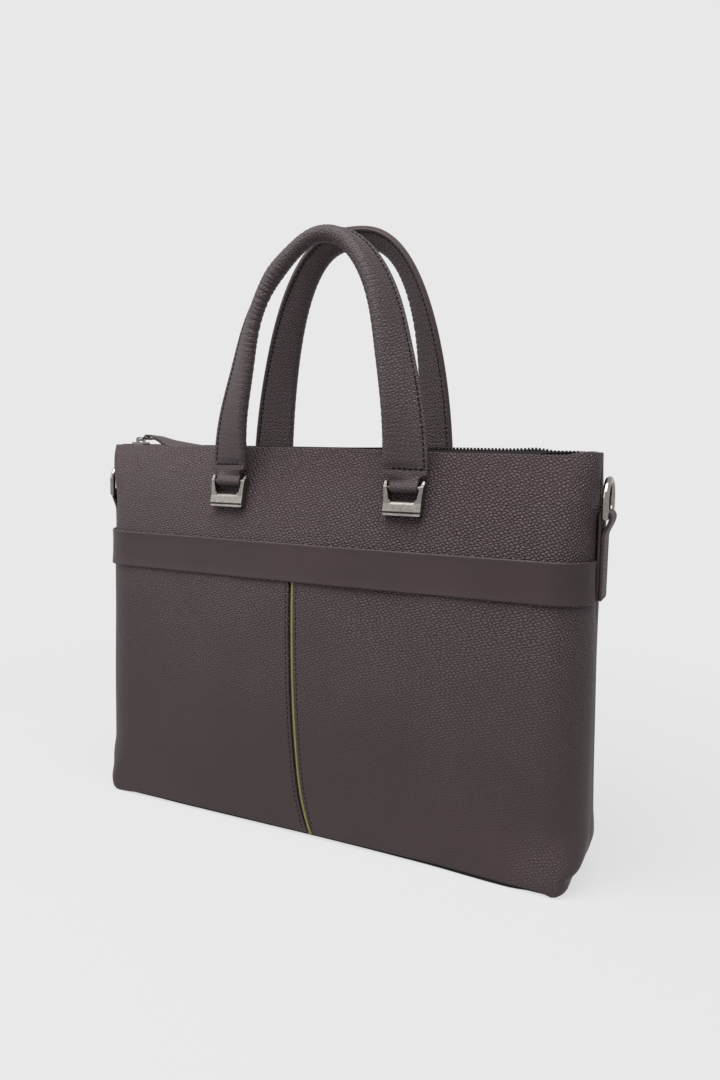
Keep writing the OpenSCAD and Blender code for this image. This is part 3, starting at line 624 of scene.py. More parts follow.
def skin(u, z, off, back=False):
    """Points of the front half of the body at share u from the middle, height z and offset off.
    The back half is drawn the same way and turned round later, so its left is the bag's right."""
    far, side = np.abs(u), np.sign(u)
    hand = -side if back else side
    depth, r, face = half_d(z) + off, plan_r(z, hand) + off, face_half(z, hand)
    turn = math.pi / 2 * (far - FACE_U) / (SIDE_U - FACE_U)
    x = np.where(far <= FACE_U, face * far / FACE_U, face + np.where(far <= SIDE_U, r * np.sin(turn), r))
    y = np.where(far <= FACE_U, -depth - crown(far / FACE_U, z), np.where(
        far <= SIDE_U, r - depth - r * np.cos(turn), (r - depth) * (1 - far) / (1 - SIDE_U)))
    pull = np.where(hand < 0, LEFT_PULL, 0) * window(far, 0.6, 0.8, 0.89, 0.95) * ramp(z, *CREASE_Z)
    x = x - pinch(z, hand) * ramp(far, 0.7, 0.85) + pull
    push = 0 if back else FOOT_PUSH
    y = y - np.where(hand > 0, push, 0) * window(far, 0.4, 0.7, 0.84, 0.91) * bell(z, 0, FOOT_PUSH_RISE)
    return np.stack([side * x, y, z + 0 * x], -1)


def face_share(x, z):
    return x / face_half(z) * FACE_U


def mouth_x(us):
    """Ways across the mouth, in millimetres, of shares of the front half."""
    return us * face_half(BODY_H) / FACE_U


def seam_mid(z):
    curl = SEAM_CURL * np.maximum(0, 1 - z / SEAM_CURL_RISE) ** 2
    return SEAM_X + SEAM_DRIFT * np.maximum(0, 1 - z / BAND_Z) ** 3 + curl


def side_rim(z, rim):
    return rim * (1 - SIDE_U) / (half_d(z) - plan_r(z))


def span(lo, hi, steps):
    """Even shares between two columns of edges, without the first."""
    t = np.arange(1, steps + 1) / steps
    return lo + (hi - lo) * t


def side_columns(z, rim):
    """Shares of the left side and corner of each row, from the side seam to the face."""
    edge = -1 + side_rim(z, rim) * (1 - np.cos(RIM_TURNS))
    zero = 0 * z
    return np.hstack([edge, span(edge[:, -1:], zero - SIDE_U, 5), span(zero - SIDE_U, zero - FACE_U, 16)])


def full_columns(z, rim, steps):
    """Shares of each row right round the front half, with a rim at each side seam."""
    left = side_columns(z, rim)
    middle = span(left[:, -1:], -left[:, -1:], steps)
    us = np.hstack([left, middle[:, :-1], -left[:, ::-1]])
    return us, rimmed(us.shape[1])


def soft_rise(x, z):
    return sum(height * np.sin(x / across + z / up + start) for height, across, up, start in SOFT_WAVES)


def slab(name, rows, columns, off, thick, material, node, back=False):
    """A sheet of leather on the body with rounded rims. Rows are heights, columns shares of each row."""
    zs, row_full = rows
    us, column_full = columns
    z = zs[:, None] if zs.ndim == 1 else zs
    half = thick / 2 * row_full[:, None] * column_full[None, :]
    sides = [skin(us, z, off - thick / 2 + way * half, back).reshape(-1, 3) for way in (1, -1)]
    points = np.concatenate(sides)
    if back:
        points = points * HALF_TURN
    add_piece(name, points, sheet_faces(*us.shape), "bag", [material], [node])


def mouth_sag(x):
    """Share of the sag that bares the zip along the right half of the mouth."""
    return window(x, 5, 115, 174, 184)


def bared(x):
    """Share by which the chain and tapes follow, none where the open zip's slider comes to rest."""
    return window(x, 5, 85, 150, 165)


def chain_lift(x):
    """How far the bared right half of the zip rides up, most beside its end."""
    return bared(x) * (0.4 + 0.8 * bell(x, 154, 11))


def pull_sink(x):
    """How far the front tape and lining are sunk under the zip's pull."""
    return PULL_SINK * window(x, -172, -147, -100, -70)


def near_mouth(z):
    return ramp(z, BODY_H - MOUTH_BEND, BODY_H)


def sagged(z, us, sag):
    """Heights with the right half of the mouth's edge let down."""
    return z - sag * mouth_sag(mouth_x(us)) * near_mouth(z)


def mouth_rows(zs, us, sag):
    """Heights of each row with the mouth's corners rounded down beside the side seams."""
    drop = CORNER_LAP * ramp(np.abs(us), 0.9, 1) ** 2
    low = zs[:, None] - drop * near_mouth(zs[:, None])
    return sagged(low, us, sag)


def hem_rows(zs, us):
    """Heights of each row with the hem lifted off the base between the corners."""
    ends = np.where(us < 0, ramp(-us, 0.66, 0.8), ramp(us, 0.74, 0.82))
    return zs[:, None] + BASE_STEP * (1 - ends) * (1 - ramp(zs[:, None], 0, HEM_LIFT_TOP))


def upper_panel():
    zs, full = edged(BAND_MID + LAYER_GAP, BODY_H, 50, RIM)
    us, across = full_columns(zs[:, None], RIM, 180)
    heights = mouth_rows(zs, us, FRONT_SAG)
    rise = soft_rise(us * FACE_MM, heights) * ramp(BODY_H - heights, 0, CALM)
    slab("front_upper_leather", (heights, full), (us, across), rise, LEATHER_T,
         pebbled, "front_upper_panel")


def lower_panel(side, word):
    """Front panel left or right of the seam, with a folded edge and a valley under its stitches."""
    zs, full = edged(HEM_Z, BAND_MID - LAYER_GAP, 120, RIM)
    z = zs[:, None]
    end = seam_mid(z) + side * SEAM_W / 2
    fine = np.concatenate([SEAM_FINE, RIM * (1 - np.cos(RIM_TURNS))[::-1]])
    near = face_share(side * (end + side * fine), z)
    outer = side_columns(z, RIM)
    middle = span(outer[:, -1:], -np.abs(near[:, :1]) if side < 0 else -near[:, :1], 95)
    us = np.hstack([outer, middle[:, :-1], -near]) * -side
    heights = hem_rows(zs, us)
    gap = np.abs(us * face_half(heights) / FACE_U - end)
    pull = 0.75 + 0.25 * np.cos(2 * math.pi * heights / STITCH_PITCH)
    rise = soft_rise(us * FACE_MM, heights) * ramp(heights, 0, CALM) * ramp(gap, 3, 3 + CALM)
    rise = rise - SEAM_VALLEY * pull * bell(gap, SEAM_STITCH, 0.6)
    slab(f"front_{word}_leather", (heights, full), (us, rimmed(us.shape[1])), rise, LEATHER_T,
         pebbled, f"front_{word}_panel")


def back_leather():
    zs, full = edged(HEM_Z, BODY_H, 160, RIM)
    us, across = full_columns(zs[:, None], RIM, 180)
    heights = mouth_rows(zs, -us, BACK_SAG)
    rise = soft_rise(us * FACE_MM + 90, heights)
    rise = rise * ramp(BODY_H - heights, 0, CALM) * ramp(heights, 0, CALM)
    slab("back_leather", (heights, full), (us, across), rise, LEATHER_T, pebbled,
         "back_panel", back=True)


def band():
    """Smooth band whose long edges are turned in, so that they stand proud and round."""
    zs, full = edged(BAND_Z, BAND_TOP, 26, BAND_RIM)
    z = zs[:, None]
    tab_half = TAB_W / 2 + 0.3
    flat_y = half_d(z) - plan_r(z)
    end = FACE_U + (SIDE_U - FACE_U) * np.arccos((tab_half - flat_y) / plan_r(z)) / (math.pi / 2)
    corner = np.hstack([-end, span(-end, 0 * z - FACE_U, 18)])
    us = np.hstack([corner, span(corner[:, -1:], -corner[:, -1:], 160)[:, :-1], -corner[:, ::-1]])
    across = np.ones(us.shape[1])
    across[[0, -1]] = 0
    across[[1, -2]] = 0.85
    thick = BAND_T + BAND_LIP * np.abs((z - BAND_MID) / (BAND_MID - BAND_Z)) ** 3
    wave = 0.18 * np.sin(us * 22 + 0.6) + 0.1 * np.sin(us * 47 + z / 9)
    slab("front_band_leather", (zs, full), (us, across), LAYER_GAP + thick + wave, thick,
         smooth, "front_band")


def seam_strip():
    """Olive strip at the right of the seam's channel, with a dark groove at its left."""
    reach = SEAM_W / 2 - LAYER_GAP
    across = np.array([-reach, -0.5, -0.25, 0, 0.35, 1.0, 1.55, reach - 0.2, reach])
    rise = np.array([-1.5, -1.5, -1.3, -0.55, -0.3, -0.22, -0.35, -0.9, -1.3])
    zs = np.linspace(1.5, BAND_MID - LAYER_GAP, 120)[:, None]
    us = face_share(seam_mid(zs) + across, zs)
    top = skin(us, zs, rise + 0 * us)
    low = skin(us, zs, -LEATHER_T + 0 * us)
    loop = np.concatenate([top, low[:, ::-1]], 1)
    rows, columns = loop.shape[:2]
    faces = grid_faces(rows, columns, closed=True)
    bright, dark = sort_faces(faces, columns, lambda column: 2 <= column <= 7)
    add_piece("seam_strip", loop.reshape(-1, 3), bright, "bag", [olive, smooth],
              ["seam_inlay"], trim=dark + end_caps(rows, columns))


def outline(front_off, back_off):
    """Plan of the whole body at its foot, with an offset for each half."""
    us = full_columns(np.array([[0.0]]), RIM, 60)[0][0]
    front = skin(us, 0 * us, front_off(us))
    back = skin(us, 0 * us, 0 * us + back_off, True)
    return np.concatenate([front[:, :2], -back[:, :2]])


def base_reach(us):
    """Offset of the base, which comes out from under the lifted front hem, more so at the right."""
    shown = 1 - np.where(us < 0, ramp(-us, 0.56, 0.66), ramp(us, 0.7, 0.75))
    return shown * (0.5 + 1.3 * ramp(us, 0.15, 0.55)) - BASE_INSET


def plate(name, edge, low, high, material, node):
    """A flat sheet cut to an outline, with a round rim."""
    rim = (high - low) / 2
    reach = np.linalg.norm(edge, axis=1, keepdims=True)
    insets = np.concatenate([rim * (1 - np.cos(RIM_TURNS)), [rim + 2, rim + 6]])
    fill = np.concatenate([np.sin(RIM_TURNS), [1, 1]])
    rings = []
    for side in (1, -1):
        loops = [np.c_[edge * (1 - d / reach), np.full(len(edge), (low + high) / 2 + side * rim * f)]
                 for d, f in zip(insets, fill)]
        inner = loops[-1]
        loops += [inner * [share, share, 1] for share in (0.8, 0.5, 0.2)]
        rings.append(np.array(loops))
    count, columns = rings[0].shape[:2]
    faces = []
    for first in (0, count * columns):
        faces += grid_faces(count, columns, first, closed=True)
        faces.append(end_caps(count, columns, first)[1])
    points = np.concatenate([ring.reshape(-1, 3) for ring in rings])
    add_piece(name, points, faces, "bag", [material], [node])


def inside():
    """Base, linings and divider, which the closed zip hides."""
    # The base's near-black leather paints in the shade of the gap under the lifted front hem.
    plate("base_leather", outline(base_reach, -BASE_INSET), 0, BASE_STEP, base_leather,
          "base_panel")
    low, high = [corner[2] for corner in box_mm("lining_floor")]
    plate("floor_lining", outline(lambda us: 0 * us - FLOOR_INSET, -FLOOR_INSET), low, high,
          lining_cloth, "lining_floor")
    for word in ("front", "back"):
        low, high = [corner[2] for corner in box_mm(f"{word}_lining")]
        zs, full = edged(low, high, 70, LINING_T / 2)
        us, across = full_columns(zs[:, None], LINING_T / 2, 80)
        heights = zs[:, None] + 0 * us
        if word == "front":
            heights = sagged(heights, us, FRONT_SAG) - near_mouth(heights) * pull_sink(mouth_x(us))
        else:
            heights = sagged(heights, -us, BACK_SAG)
        slab(f"{word}_lining_cloth", (heights, full), (us, across), LINING_OUT, LINING_T,
             lining_cloth, f"{word}_lining", back=word == "back")
    divider()


def divider():
    """Padded sleeve divider: thick in the middle and sewn flat round its edge."""
    (_, front, low), (_, rear, high) = box_mm("padded_divider")
    middle, half = (front + rear) / 2, (rear - front) / 2
    zs = np.linspace(low, high, 60)
    inner_r = plan_r(zs) + LINING_OUT - LINING_T
    past = np.maximum(0, rear - half_d(zs) + plan_r(zs))
    reach = (face_half(zs) + np.sqrt(inner_r ** 2 - past ** 2) - DIVIDER_GAP)[:, None]
    x = reach * np.sin(np.linspace(-1, 1, 70) * math.pi / 2)
    depth = np.minimum(reach - np.abs(x), np.minimum(zs - low, high - zs)[:, None])
    pad = half * np.sqrt(np.clip(1 - (1 - np.clip(depth / DIVIDER_SLOPE, 0, 1)) ** 2, 0, 1))
    z = zs[:, None] + 0 * x
    points = np.concatenate([np.stack([x, middle + s * pad, z], -1).reshape(-1, 3) for s in (-1, 1)])
    pad_piece = add_piece("divider_pad", points, sheet_faces(*x.shape), "bag",
                          [lining_cloth], ["padded_divider"])


# Straps of leather and sewing

EDGE_TURNS = np.radians([-90, -62, -35, -12, 12, 35, 62, 90])
FLAT_STEPS = 6


def strap(name, path, across, half, thick, body, materials, node, count):
    """A strip along a path, with rounded cut edges. across is the way of its width, half its reach."""
    steps = lengths(path)
    places, full = edged(0, steps[-1], count, thick / 2)
    centre = on_path(places, steps, path)
    wide = unit(on_path(places, steps, np.broadcast_to(across, path.shape)))
    up = unit(np.cross(unit(np.gradient(centre, places, axis=0)), wide))
    reach = np.interp(places, steps, half)[:, None]
    right = reach - thick / 2 * 0.6 * (1 - np.cos(EDGE_TURNS))
    left = -right[:, ::-1]
    flat = np.linspace(0, 1, FLAT_STEPS + 2)[1:-1]
    right_end, left_end = right[:, -1:], left[:, :1]
    x = np.hstack([right, right_end + (left_end - right_end) * flat,
                   left, left_end + (right_end - left_end) * flat])
    edge = thick / 2 * np.sin(EDGE_TURNS)
    face = np.full(FLAT_STEPS, thick / 2)
    y = np.concatenate([edge, face, edge[::-1], -face]) * full[:, None]
    points = centre[:, None] + wide[:, None] * x[..., None] + up[:, None] * y[..., None]
    rows, columns = x.shape
    cut = len(EDGE_TURNS) - 1
    faces = grid_faces(rows, columns, closed=True)
    raw, leather = sort_faces(faces, columns, lambda column: column % (columns // 2) < cut)
    add_piece(name, points.reshape(-1, 3), leather, body, materials, [node],
              trim=raw + end_caps(rows, columns))


def stitches(name, rows, body, pitch=STITCH_PITCH, length=STITCH_L, radius=THREAD_R):
    """Rows of single stitches. Each row is a path with the direction that its leather faces."""
    turns = np.linspace(0, 2 * math.pi, 7)[:-1]
    stations = np.linspace(-1, 1, 7)
    swell = np.sqrt(1 - (0.97 * stations) ** 4)
    dip = -0.9 * radius * stations ** 4
    points, faces = [], []
    for path, facing in rows:
        steps = lengths(path)
        for middle in np.arange(pitch / 2, steps[-1] - pitch / 3, pitch):
            centre = on_path(np.clip(middle + stations * length / 2, 0, steps[-1]), steps, path)
            up = unit(on_path(middle, steps, facing))
            side = np.cross(up, unit(centre[-1] - centre[0]))
            ring = radius * (np.cos(turns)[:, None] * side + np.sin(turns)[:, None] * up)
            bead = centre[:, None] + ring[None] * swell[:, None, None] + up * dip[:, None, None]
            first = len(points) * len(stations) * len(turns)
            points.append(bead.reshape(-1, 3))
            faces += grid_faces(len(stations), len(turns), first, closed=True)
            faces += end_caps(len(stations), len(turns), first)
    add_piece(name, np.concatenate(points), faces, body, [thread])


def seam_stitches():
    zs = np.linspace(6, BAND_Z - 1, 140)
    rows = []
    for side in (-1, 1):
        x = seam_mid(zs) + side * (SEAM_W / 2 + SEAM_STITCH)
        path = skin(face_share(x, zs), zs, np.full_like(zs, -0.32))
        rows.append((path, np.tile([0, -1, 0], (len(zs), 1))))
    stitches("seam_stitches", rows, "bag", radius=0.44)


# Handles, in a frame on the pins: X across, Y up the handle, Z out

def to_handle(points, form):
    """Carries points of a handle's frame to the bag's."""
    tilt = math.radians(form["lean"])
    x, y, z = points[..., 0], points[..., 1], points[..., 2]
    placed = np.stack([x + form["shift"], PIN[1] + y * math.sin(tilt) - z * math.cos(tilt),
                       PIN[2] + y * math.cos(tilt) + z * math.sin(tilt)], -1)
    return placed * HALF_TURN if form is HANDLES["back"] else placed


# Cut edge of the flange, from one face over the glued middle to the other, in shares of half its thickness
FLANGE_EDGE = np.array([[-0.35, -1], [0, -0.84], [0, -0.16], [-0.5, 0], [0, 0.16], [0, 0.84], [-0.35, 1]])
PAD_STEPS = np.linspace(0, 1, 13)
ROLL_TURNS = np.radians(np.linspace(90, 270, 17))
# Columns beside the flange that the cross folds leave alone
SEAT_COLUMNS = 9


def strap_section(width, roll_r, flat):
    """Section of a handle, X to its sewn flange: cut edge, stitched flange and padded roll.
    flat runs from 0, padded, to 1, pressed flat where the strap ends."""
    flange = FLANGE_T / 2
    roll = roll_r + (flange - roll_r) * flat
    edge = np.c_[width / 2 + FLANGE_EDGE[:, 0], FLANGE_EDGE[:, 1] * flange]
    sewn = width / 2 - STITCH_IN
    top = [[width / 2 - 1.0, flange], [sewn + 0.8, flange - 0.05], [sewn, flange - 0.5]]
    start, stop = sewn - 0.9, roll - width / 2
    pad = np.c_[start + (stop - start) * PAD_STEPS,
                flange - 0.1 + (roll - flange + 0.1) * np.sin(PAD_STEPS * math.pi / 2)]
    arc = np.c_[roll - width / 2 + roll * np.cos(ROLL_TURNS), roll * np.sin(ROLL_TURNS)][1:-1]
    upper = np.concatenate([top, pad])
    lower = upper[::-1] * [1, -1]
    return np.concatenate([edge, upper, arc, lower])


def arch_frame(form, angles, feet):
    """Middle, outward way, turn and bow of a handle at angles of its arch, or at heights of its feet."""
    cos, sin = np.cos(angles), np.sin(angles)
    rise, leg, power = form["rise"] - ARCH_FOOT, form["leg"], form["power"]
    across = np.sign(cos) * np.abs(cos) ** power
    middle = np.stack([leg * across, np.where(feet > 0, feet, ARCH_FOOT + rise * sin)], -1)
    way = unit(np.stack([np.sign(cos) * np.abs(cos) ** (2 - power) / (power * leg), sin / rise], -1))
    turn = np.radians(FOOT_TURN + (GRIP_TURN - FOOT_TURN) * sin ** form["wind"])
    bow = form["bow"] * 4 * sin * (1 - sin)
    for angle, reach, dx, dy in form["bends"]:
        middle = middle + bell(np.degrees(angles), angle, reach)[:, None] * [dx, dy]
    return middle, way, turn, bow


def on_arch(place, section):
    """Points of sections carried to their places on the arch."""
    middle, way, turn, bow = place
    wide, thick = section[..., 0], section[..., 1]
    cos, sin = np.cos(turn)[:, None], np.sin(turn)[:, None]
    along = wide * cos + thick * sin
    return np.stack([middle[:, :1] + way[:, :1] * along, middle[:, 1:] + way[:, 1:] * along,
                     bow[:, None] + thick * cos - wide * sin], -1)


def handle_rows(form):
    """Angles of the arch, heights in its feet (0 in the arch) and how flat the strap is there."""
    arch = np.linspace(0, math.pi, ARCH_STEPS)[1:-1]
    feet = np.concatenate([FOOT_ROWS, 0 * arch, FOOT_ROWS[::-1]])
    angles = np.concatenate([0 * FOOT_ROWS, arch, 0 * FOOT_ROWS + math.pi])
    height = np.where(feet > 0, feet, ARCH_FOOT + (form["rise"] - ARCH_FOOT) * np.sin(angles))
    return angles, feet, 1 - ramp(height, 12.8, 17.8)


def creases(angles, columns):
    """Cross folds where the roll is bent hardest, as a cut into its inner side."""
    length = angles * ARCH_R
    roll = np.zeros(columns)
    first, last = len(FLANGE_EDGE) + SEAT_COLUMNS, columns - SEAT_COLUMNS
    roll[first:last] = np.sin(np.linspace(0, math.pi, last - first)) ** 0.7
    bends = sum(share * bell(np.degrees(angles), middle, reach) for middle, reach, share in CREASED)
    fold = np.abs(np.sin(length * 0.8 + 0.9 * np.sin(length * 0.31))) ** 0.6
    return -CREASE_DEEP * (bends * (1 - fold))[:, None] * roll[None, :]


def handle(word):
    form = HANDLES[word]
    angles, feet, flat = handle_rows(form)
    place = arch_frame(form, angles, feet)
    sin = np.sin(angles)
    widths = STRAP_W + (GRIP_W - STRAP_W) * sin
    rolls = FOOT_ROLL_R + (GRIP_ROLL_R - FOOT_ROLL_R) * sin
    rolls = rolls + form["knuckle"] * bell(np.degrees(angles), *KNUCKLE)
    sections = np.array([strap_section(*row) for row in zip(widths, rolls, flat)])
    rows, columns = sections.shape[:2]
    ahead, behind = np.roll(sections, -1, 1), np.roll(sections, 1, 1)
    normal = unit((ahead - behind)[..., ::-1] * [1, -1])
    sections = sections + normal * creases(angles, columns)[..., None]
    sections[(feet > 0) & (feet <= LAP_TOP), :, 1] *= LAP_CORE
    points = to_handle(on_arch(place, sections), form)
    cut = len(FLANGE_EDGE) - 1
    faces = grid_faces(rows, columns, closed=True)
    raw, leather = sort_faces(faces, columns, lambda column: column < cut)
    piece = add_piece(f"{word}_handle_leather", points.reshape(-1, 3), leather, f"{word}_handle",
                      [handle_leather, edge_paint], [f"{word}_handle_wrap"],
                      trim=raw + end_caps(rows, columns))
    handle_core(word, form, place, widths, rolls, flat)
    handle_stitches(word, form, place, widths)
    for side, name in ((-1, "left"), (1, "right")):
        tongue(word, form, side, name)


def handle_core(word, form, place, widths, rolls, flat):
    """Cotton cord that fills the roll."""
    turns = np.linspace(0, 2 * math.pi, 17)[:-1]
    radius = (rolls - LEATHER_T - 0.1)[:, None]
    ring = np.stack([(rolls - widths / 2)[:, None] + radius * np.cos(turns), radius * np.sin(turns)], -1)
    points = to_handle(on_arch(place, ring), form)[flat < 0.3]
    rows, columns = points.shape[:2]
    faces = grid_faces(rows, columns, closed=True) + end_caps(rows, columns)
    add_piece(f"{word}_handle_cord", points.reshape(-1, 3), faces, f"{word}_handle",
              [cotton], [f"{word}_handle_core"])


def handle_stitches(word, form, place, widths):
    """A row along each face of the flange and a short row across each strap end."""
    rows = []
    flange = FLANGE_T / 2
    for face in (1, -1):
        seat = np.stack([widths / 2 - STITCH_IN, np.full_like(widths, face * (flange - 0.2))], -1)[:, None]
        path = to_handle(on_arch(place, seat), form)[:, 0]
        over = to_handle(on_arch(place, seat + np.array([0, face])), form)[:, 0]
        rows.append((path[STITCH_ROW:-STITCH_ROW], (over - path)[STITCH_ROW:-STITCH_ROW]))
    for end in (STITCH_ROW, -STITCH_ROW - 1):
        across = np.linspace(widths[end] / 2 - STITCH_IN, 3.5 - widths[end] / 2, 30)
        one = [part[[end] * len(across)] for part in place]
        seat = np.stack([across, np.full_like(across, flange + 0.1)], -1)[:, None]
        path = to_handle(on_arch(one, seat), form)[:, 0]
        over = to_handle(on_arch(one, seat + np.array([0, 1])), form)[:, 0]
        rows.append((path, over - path))
    stitches(f"{word}_handle_stitches", rows, f"{word}_handle")


def tongue(word, form, side, name):
    """Leather sewn over the strap's end, down round the bracket's pin and up behind."""
    seat = (FLANGE_T - TONGUE_T) / 2
    loop_r = PIN_R + LOOP_GAP + TONGUE_T / 2
    high = np.linspace(LAP_TOP, 0, 30)
    closed = TONGUE_T / 2 + 0.02
    out = closed + (seat - closed) * ramp(high, 5, 9) + (loop_r - closed) * ramp(high, 5, 0)
    front = np.c_[high, out]
    turn = np.linspace(math.pi / 2, -math.pi / 2, 16)[1:-1]
    under = np.c_[-loop_r * np.cos(turn), loop_r * np.sin(turn)]
    line = np.concatenate([front, under, front[::-1] * [1, -1]])
    up = line[:, 0]
    grown = ramp(up, 3, STRAP_END)
    rise = np.clip((up - STRAP_END + SHOULDER_H) / SHOULDER_H, 0, 1)
    half = TONGUE_W / 2 + (STRAP_W - TONGUE_W) / 2 * (1 - np.sqrt(1 - rise ** 2))
    twist = np.radians(FOOT_TURN) * grown
    middle = side * (BRACKET_X + (form["leg"] - BRACKET_X) * grown)
    path = np.c_[middle + side * np.sin(twist) * line[:, 1], up, np.cos(twist) * line[:, 1]]
    wide = np.c_[np.cos(twist), 0 * up, -side * np.sin(twist)]
    placed = to_handle(path, form)
    across = to_handle(path + wide, form) - placed
    world = name if word == "front" else ("right" if side < 0 else "left")
    strap(f"{word}_handle_tongue_{world}_leather", placed, across, half, TONGUE_T, f"{word}_handle",
          [handle_leather, edge_paint], f"{word}_handle_tongue_{world}", 80)


# Sides and zip

def ring_tab(side, name):
    """Strip of leather folded round the ring's bar and sewn to the side."""
    (left, _, low), (right, _, _) = box_mm(f"ring_tab_{name}")
    inside_x = min(abs(left), abs(right)) + TAB_T / 2
    eye = RING_WIRE_R + LOOP_GAP + TAB_T / 2
    ring_x, ring_z = abs(RING[0]), RING[2]
    up = np.c_[np.full(20, inside_x), np.linspace(low, ring_z, 20)]
    turn = np.linspace(math.pi, 0, 18)[1:-1]
    over = np.c_[ring_x + eye * np.cos(turn), ring_z + eye * np.sin(turn)]
    outside_x = inside_x + TAB_T + TAB_SLIT
    fall = np.linspace(0, 1, 24)
    neck = np.c_[outside_x + (ring_x + eye - outside_x) * (1 + np.cos(math.pi * fall)) / 2,
                 ring_z - TAB_DROP * fall]
    down = np.c_[np.full(20, outside_x), np.linspace(ring_z - TAB_DROP, low, 21)[1:]]
    line = np.concatenate([up, over, neck, down])
    steps = lengths(line)
    near = np.clip(np.minimum(steps, steps[-1] - steps), 0, TAB_CORNER_R)
    half = TAB_W / 2 - TAB_CORNER_R + np.sqrt(TAB_CORNER_R ** 2 - (TAB_CORNER_R - near) ** 2)
    path = np.c_[side * line[:, 0], 0 * line[:, 0], line[:, 1]]
    strap(f"ring_tab_{name}_leather", path, np.array([0, side, 0.0]), half, TAB_T, "bag",
          [handle_leather, edge_paint], f"ring_tab_{name}", 90)
    face_x = side * (outside_x + TAB_T / 2 - 0.05)
    inset, foot, head = TAB_W / 2 - 2.4, low + 2.6, ring_z - TAB_DROP
    corners = [(-inset, head), (-inset, foot), (inset, foot), (inset, head)]
    t = np.linspace(0, 1, 12)
    rows = []
    for (y0, z0), (y1, z1) in zip(corners, corners[1:]):
        rows.append((np.c_[np.full(len(t), face_x), y0 + (y1 - y0) * t, z0 + (z1 - z0) * t],
                     np.tile([side, 0, 0], (len(t), 1))))
    stitches(f"ring_tab_{name}_stitches", rows, "bag", pitch=3.0, length=2.3, radius=0.26)


def mouth_reach(x, off):
    """Half depth of the mouth at a place along the zip."""
    side = np.sign(x)
    depth, r, face = half_d(ZIP_Z) + off, plan_r(ZIP_Z, side) + off, face_half(ZIP_Z, side)
    past = np.clip(np.abs(x) - face, 0, r * 0.999)
    return depth - r + np.sqrt(r * r - past * past)


def zip_tapes():
    for word, side in (("front", -1), ("back", 1)):
        low, high = box_mm(f"zip_tape_{word}")
        x = np.linspace(low[0], high[0], 120)
        outer = mouth_reach(x, -LEATHER_T - LAYER_GAP)
        middle = (outer + CHAIN_HALF) / 2
        half = (outer - CHAIN_HALF) / 2
        sag = FRONT_SAG * bared(x) + pull_sink(x) if side < 0 else BACK_SAG * bared(x)
        lift = chain_lift(x)
        slope = np.arctan2(sag + lift, 2 * half)
        path = np.c_[x, side * middle, ZIP_Z + lift - half * np.sin(slope)]
        across = np.c_[0 * x, np.cos(slope), -side * np.sin(slope)]
        strap(f"zip_tape_{word}_cloth", path, across, half, TAPE_T, "bag",
              [zip_cloth, zip_cloth], f"zip_tape_{word}", 130)


def zip_teeth():
    """The meshed teeth of the part, riding up with their tapes, their clamped ends raised to show."""
    for word in ("front", "back"):
        cad = frame["nodes"][f"zip_teeth_{word}"]
        points = np.array([cad.matrix_world @ v.co for v in cad.data.vertices]) / MM
        x, y, z = points.T
        clamp = ramp(np.abs(y), 1.1, 1.8) * (z > ZIP_Z)
        shown = ramp(x, 5, 85) * (1 - 0.7 * ramp(x, 158, 166))
        points[:, 2] = z + chain_lift(x) + TOOTH_RAISE * clamp * shown
        faces = [tuple(p.vertices) for p in cad.data.polygons]
        row = add_piece(f"zip_teeth_{word}_row", points, faces, "bag", [gunmetal],
                        [f"zip_teeth_{word}"])
        round_edges(row, 0.18)


def end_tabs():
    """Leather caps over the two ends of the zip."""
    for name in ("left", "right"):
        (left, _, low), (right, _, _) = box_mm(f"zip_end_tab_{name}")
        x = np.linspace(left, right, 30)
        outer = np.abs(x - (left if name == "right" else right)) / (right - left)
        path = np.c_[x, 0 * x, low + END_TAB_T / 2 - 0.8 * ramp(outer, 2 / 7, 1)]
        strap(f"zip_end_tab_{name}_leather", path, np.array([0, 1.0, 0]),
              mouth_reach(x, -LEATHER_T - LAYER_GAP), END_TAB_T, "bag",
              [smooth, smooth], f"zip_end_tab_{name}", 24)


def pull_leather():
    """Strip folded round the link's bar, both layers sewn together. It rolls to the front as it falls."""
    eye = LINK_R + LOOP_GAP + PULL_T / 2
    run = np.linspace(2, PULL_L, 50)
    apart = PULL_T / 2 + 0.02 + (eye - PULL_T / 2) * bell(run, 2, 4)
    turn = np.linspace(math.pi / 2, 3 * math.pi / 2, 16)
    bend = np.c_[eye * np.cos(turn), eye * np.sin(turn)]
    line = np.concatenate([np.c_[run, apart][::-1], bend, np.c_[run, -apart]])
    x, off = line[:, 0], line[:, 1]
    roll = np.radians(PULL_ROLL) * ramp(x, 10, 40)
    swing = -PULL_SWING * ramp(x, 6, 34)
    crest = 0.9 * ramp(x, 0, 10) * (1 - 0.5 * ramp(x, 14, 54))
    half = PULL_NECK + (PULL_W / 2 - PULL_NECK) * ramp(x, 4, 12)
    past = np.clip(x - (PULL_L - PULL_W / 2), 0, PULL_W / 2 * 0.98)
    half = np.minimum(half, np.sqrt((PULL_W / 2) ** 2 - past ** 2))
    dip = math.radians(PULL_DIP)
    rise = crest + off * np.cos(roll) - PULL_W / 2 * np.sin(roll)
    path = np.c_[PULL[0] + x * math.cos(dip) + rise * math.sin(dip), swing - off * np.sin(roll),
                 PULL[2] - x * math.sin(dip) + rise * math.cos(dip)]
    strap("pull_leather", path, np.c_[0 * x, np.cos(roll), np.sin(roll)], half, PULL_T, "pull",
          [handle_leather, edge_paint], "pull_tab", 110)


def round_edges(piece, width):
    round_off = piece.modifiers.new("round_off", "BEVEL")
    round_off.width = width * MM
    round_off.segments = 2
    round_off.limit_method = "ANGLE"
    round_off.angle_limit = math.radians(35)
    round_off.harden_normals = True


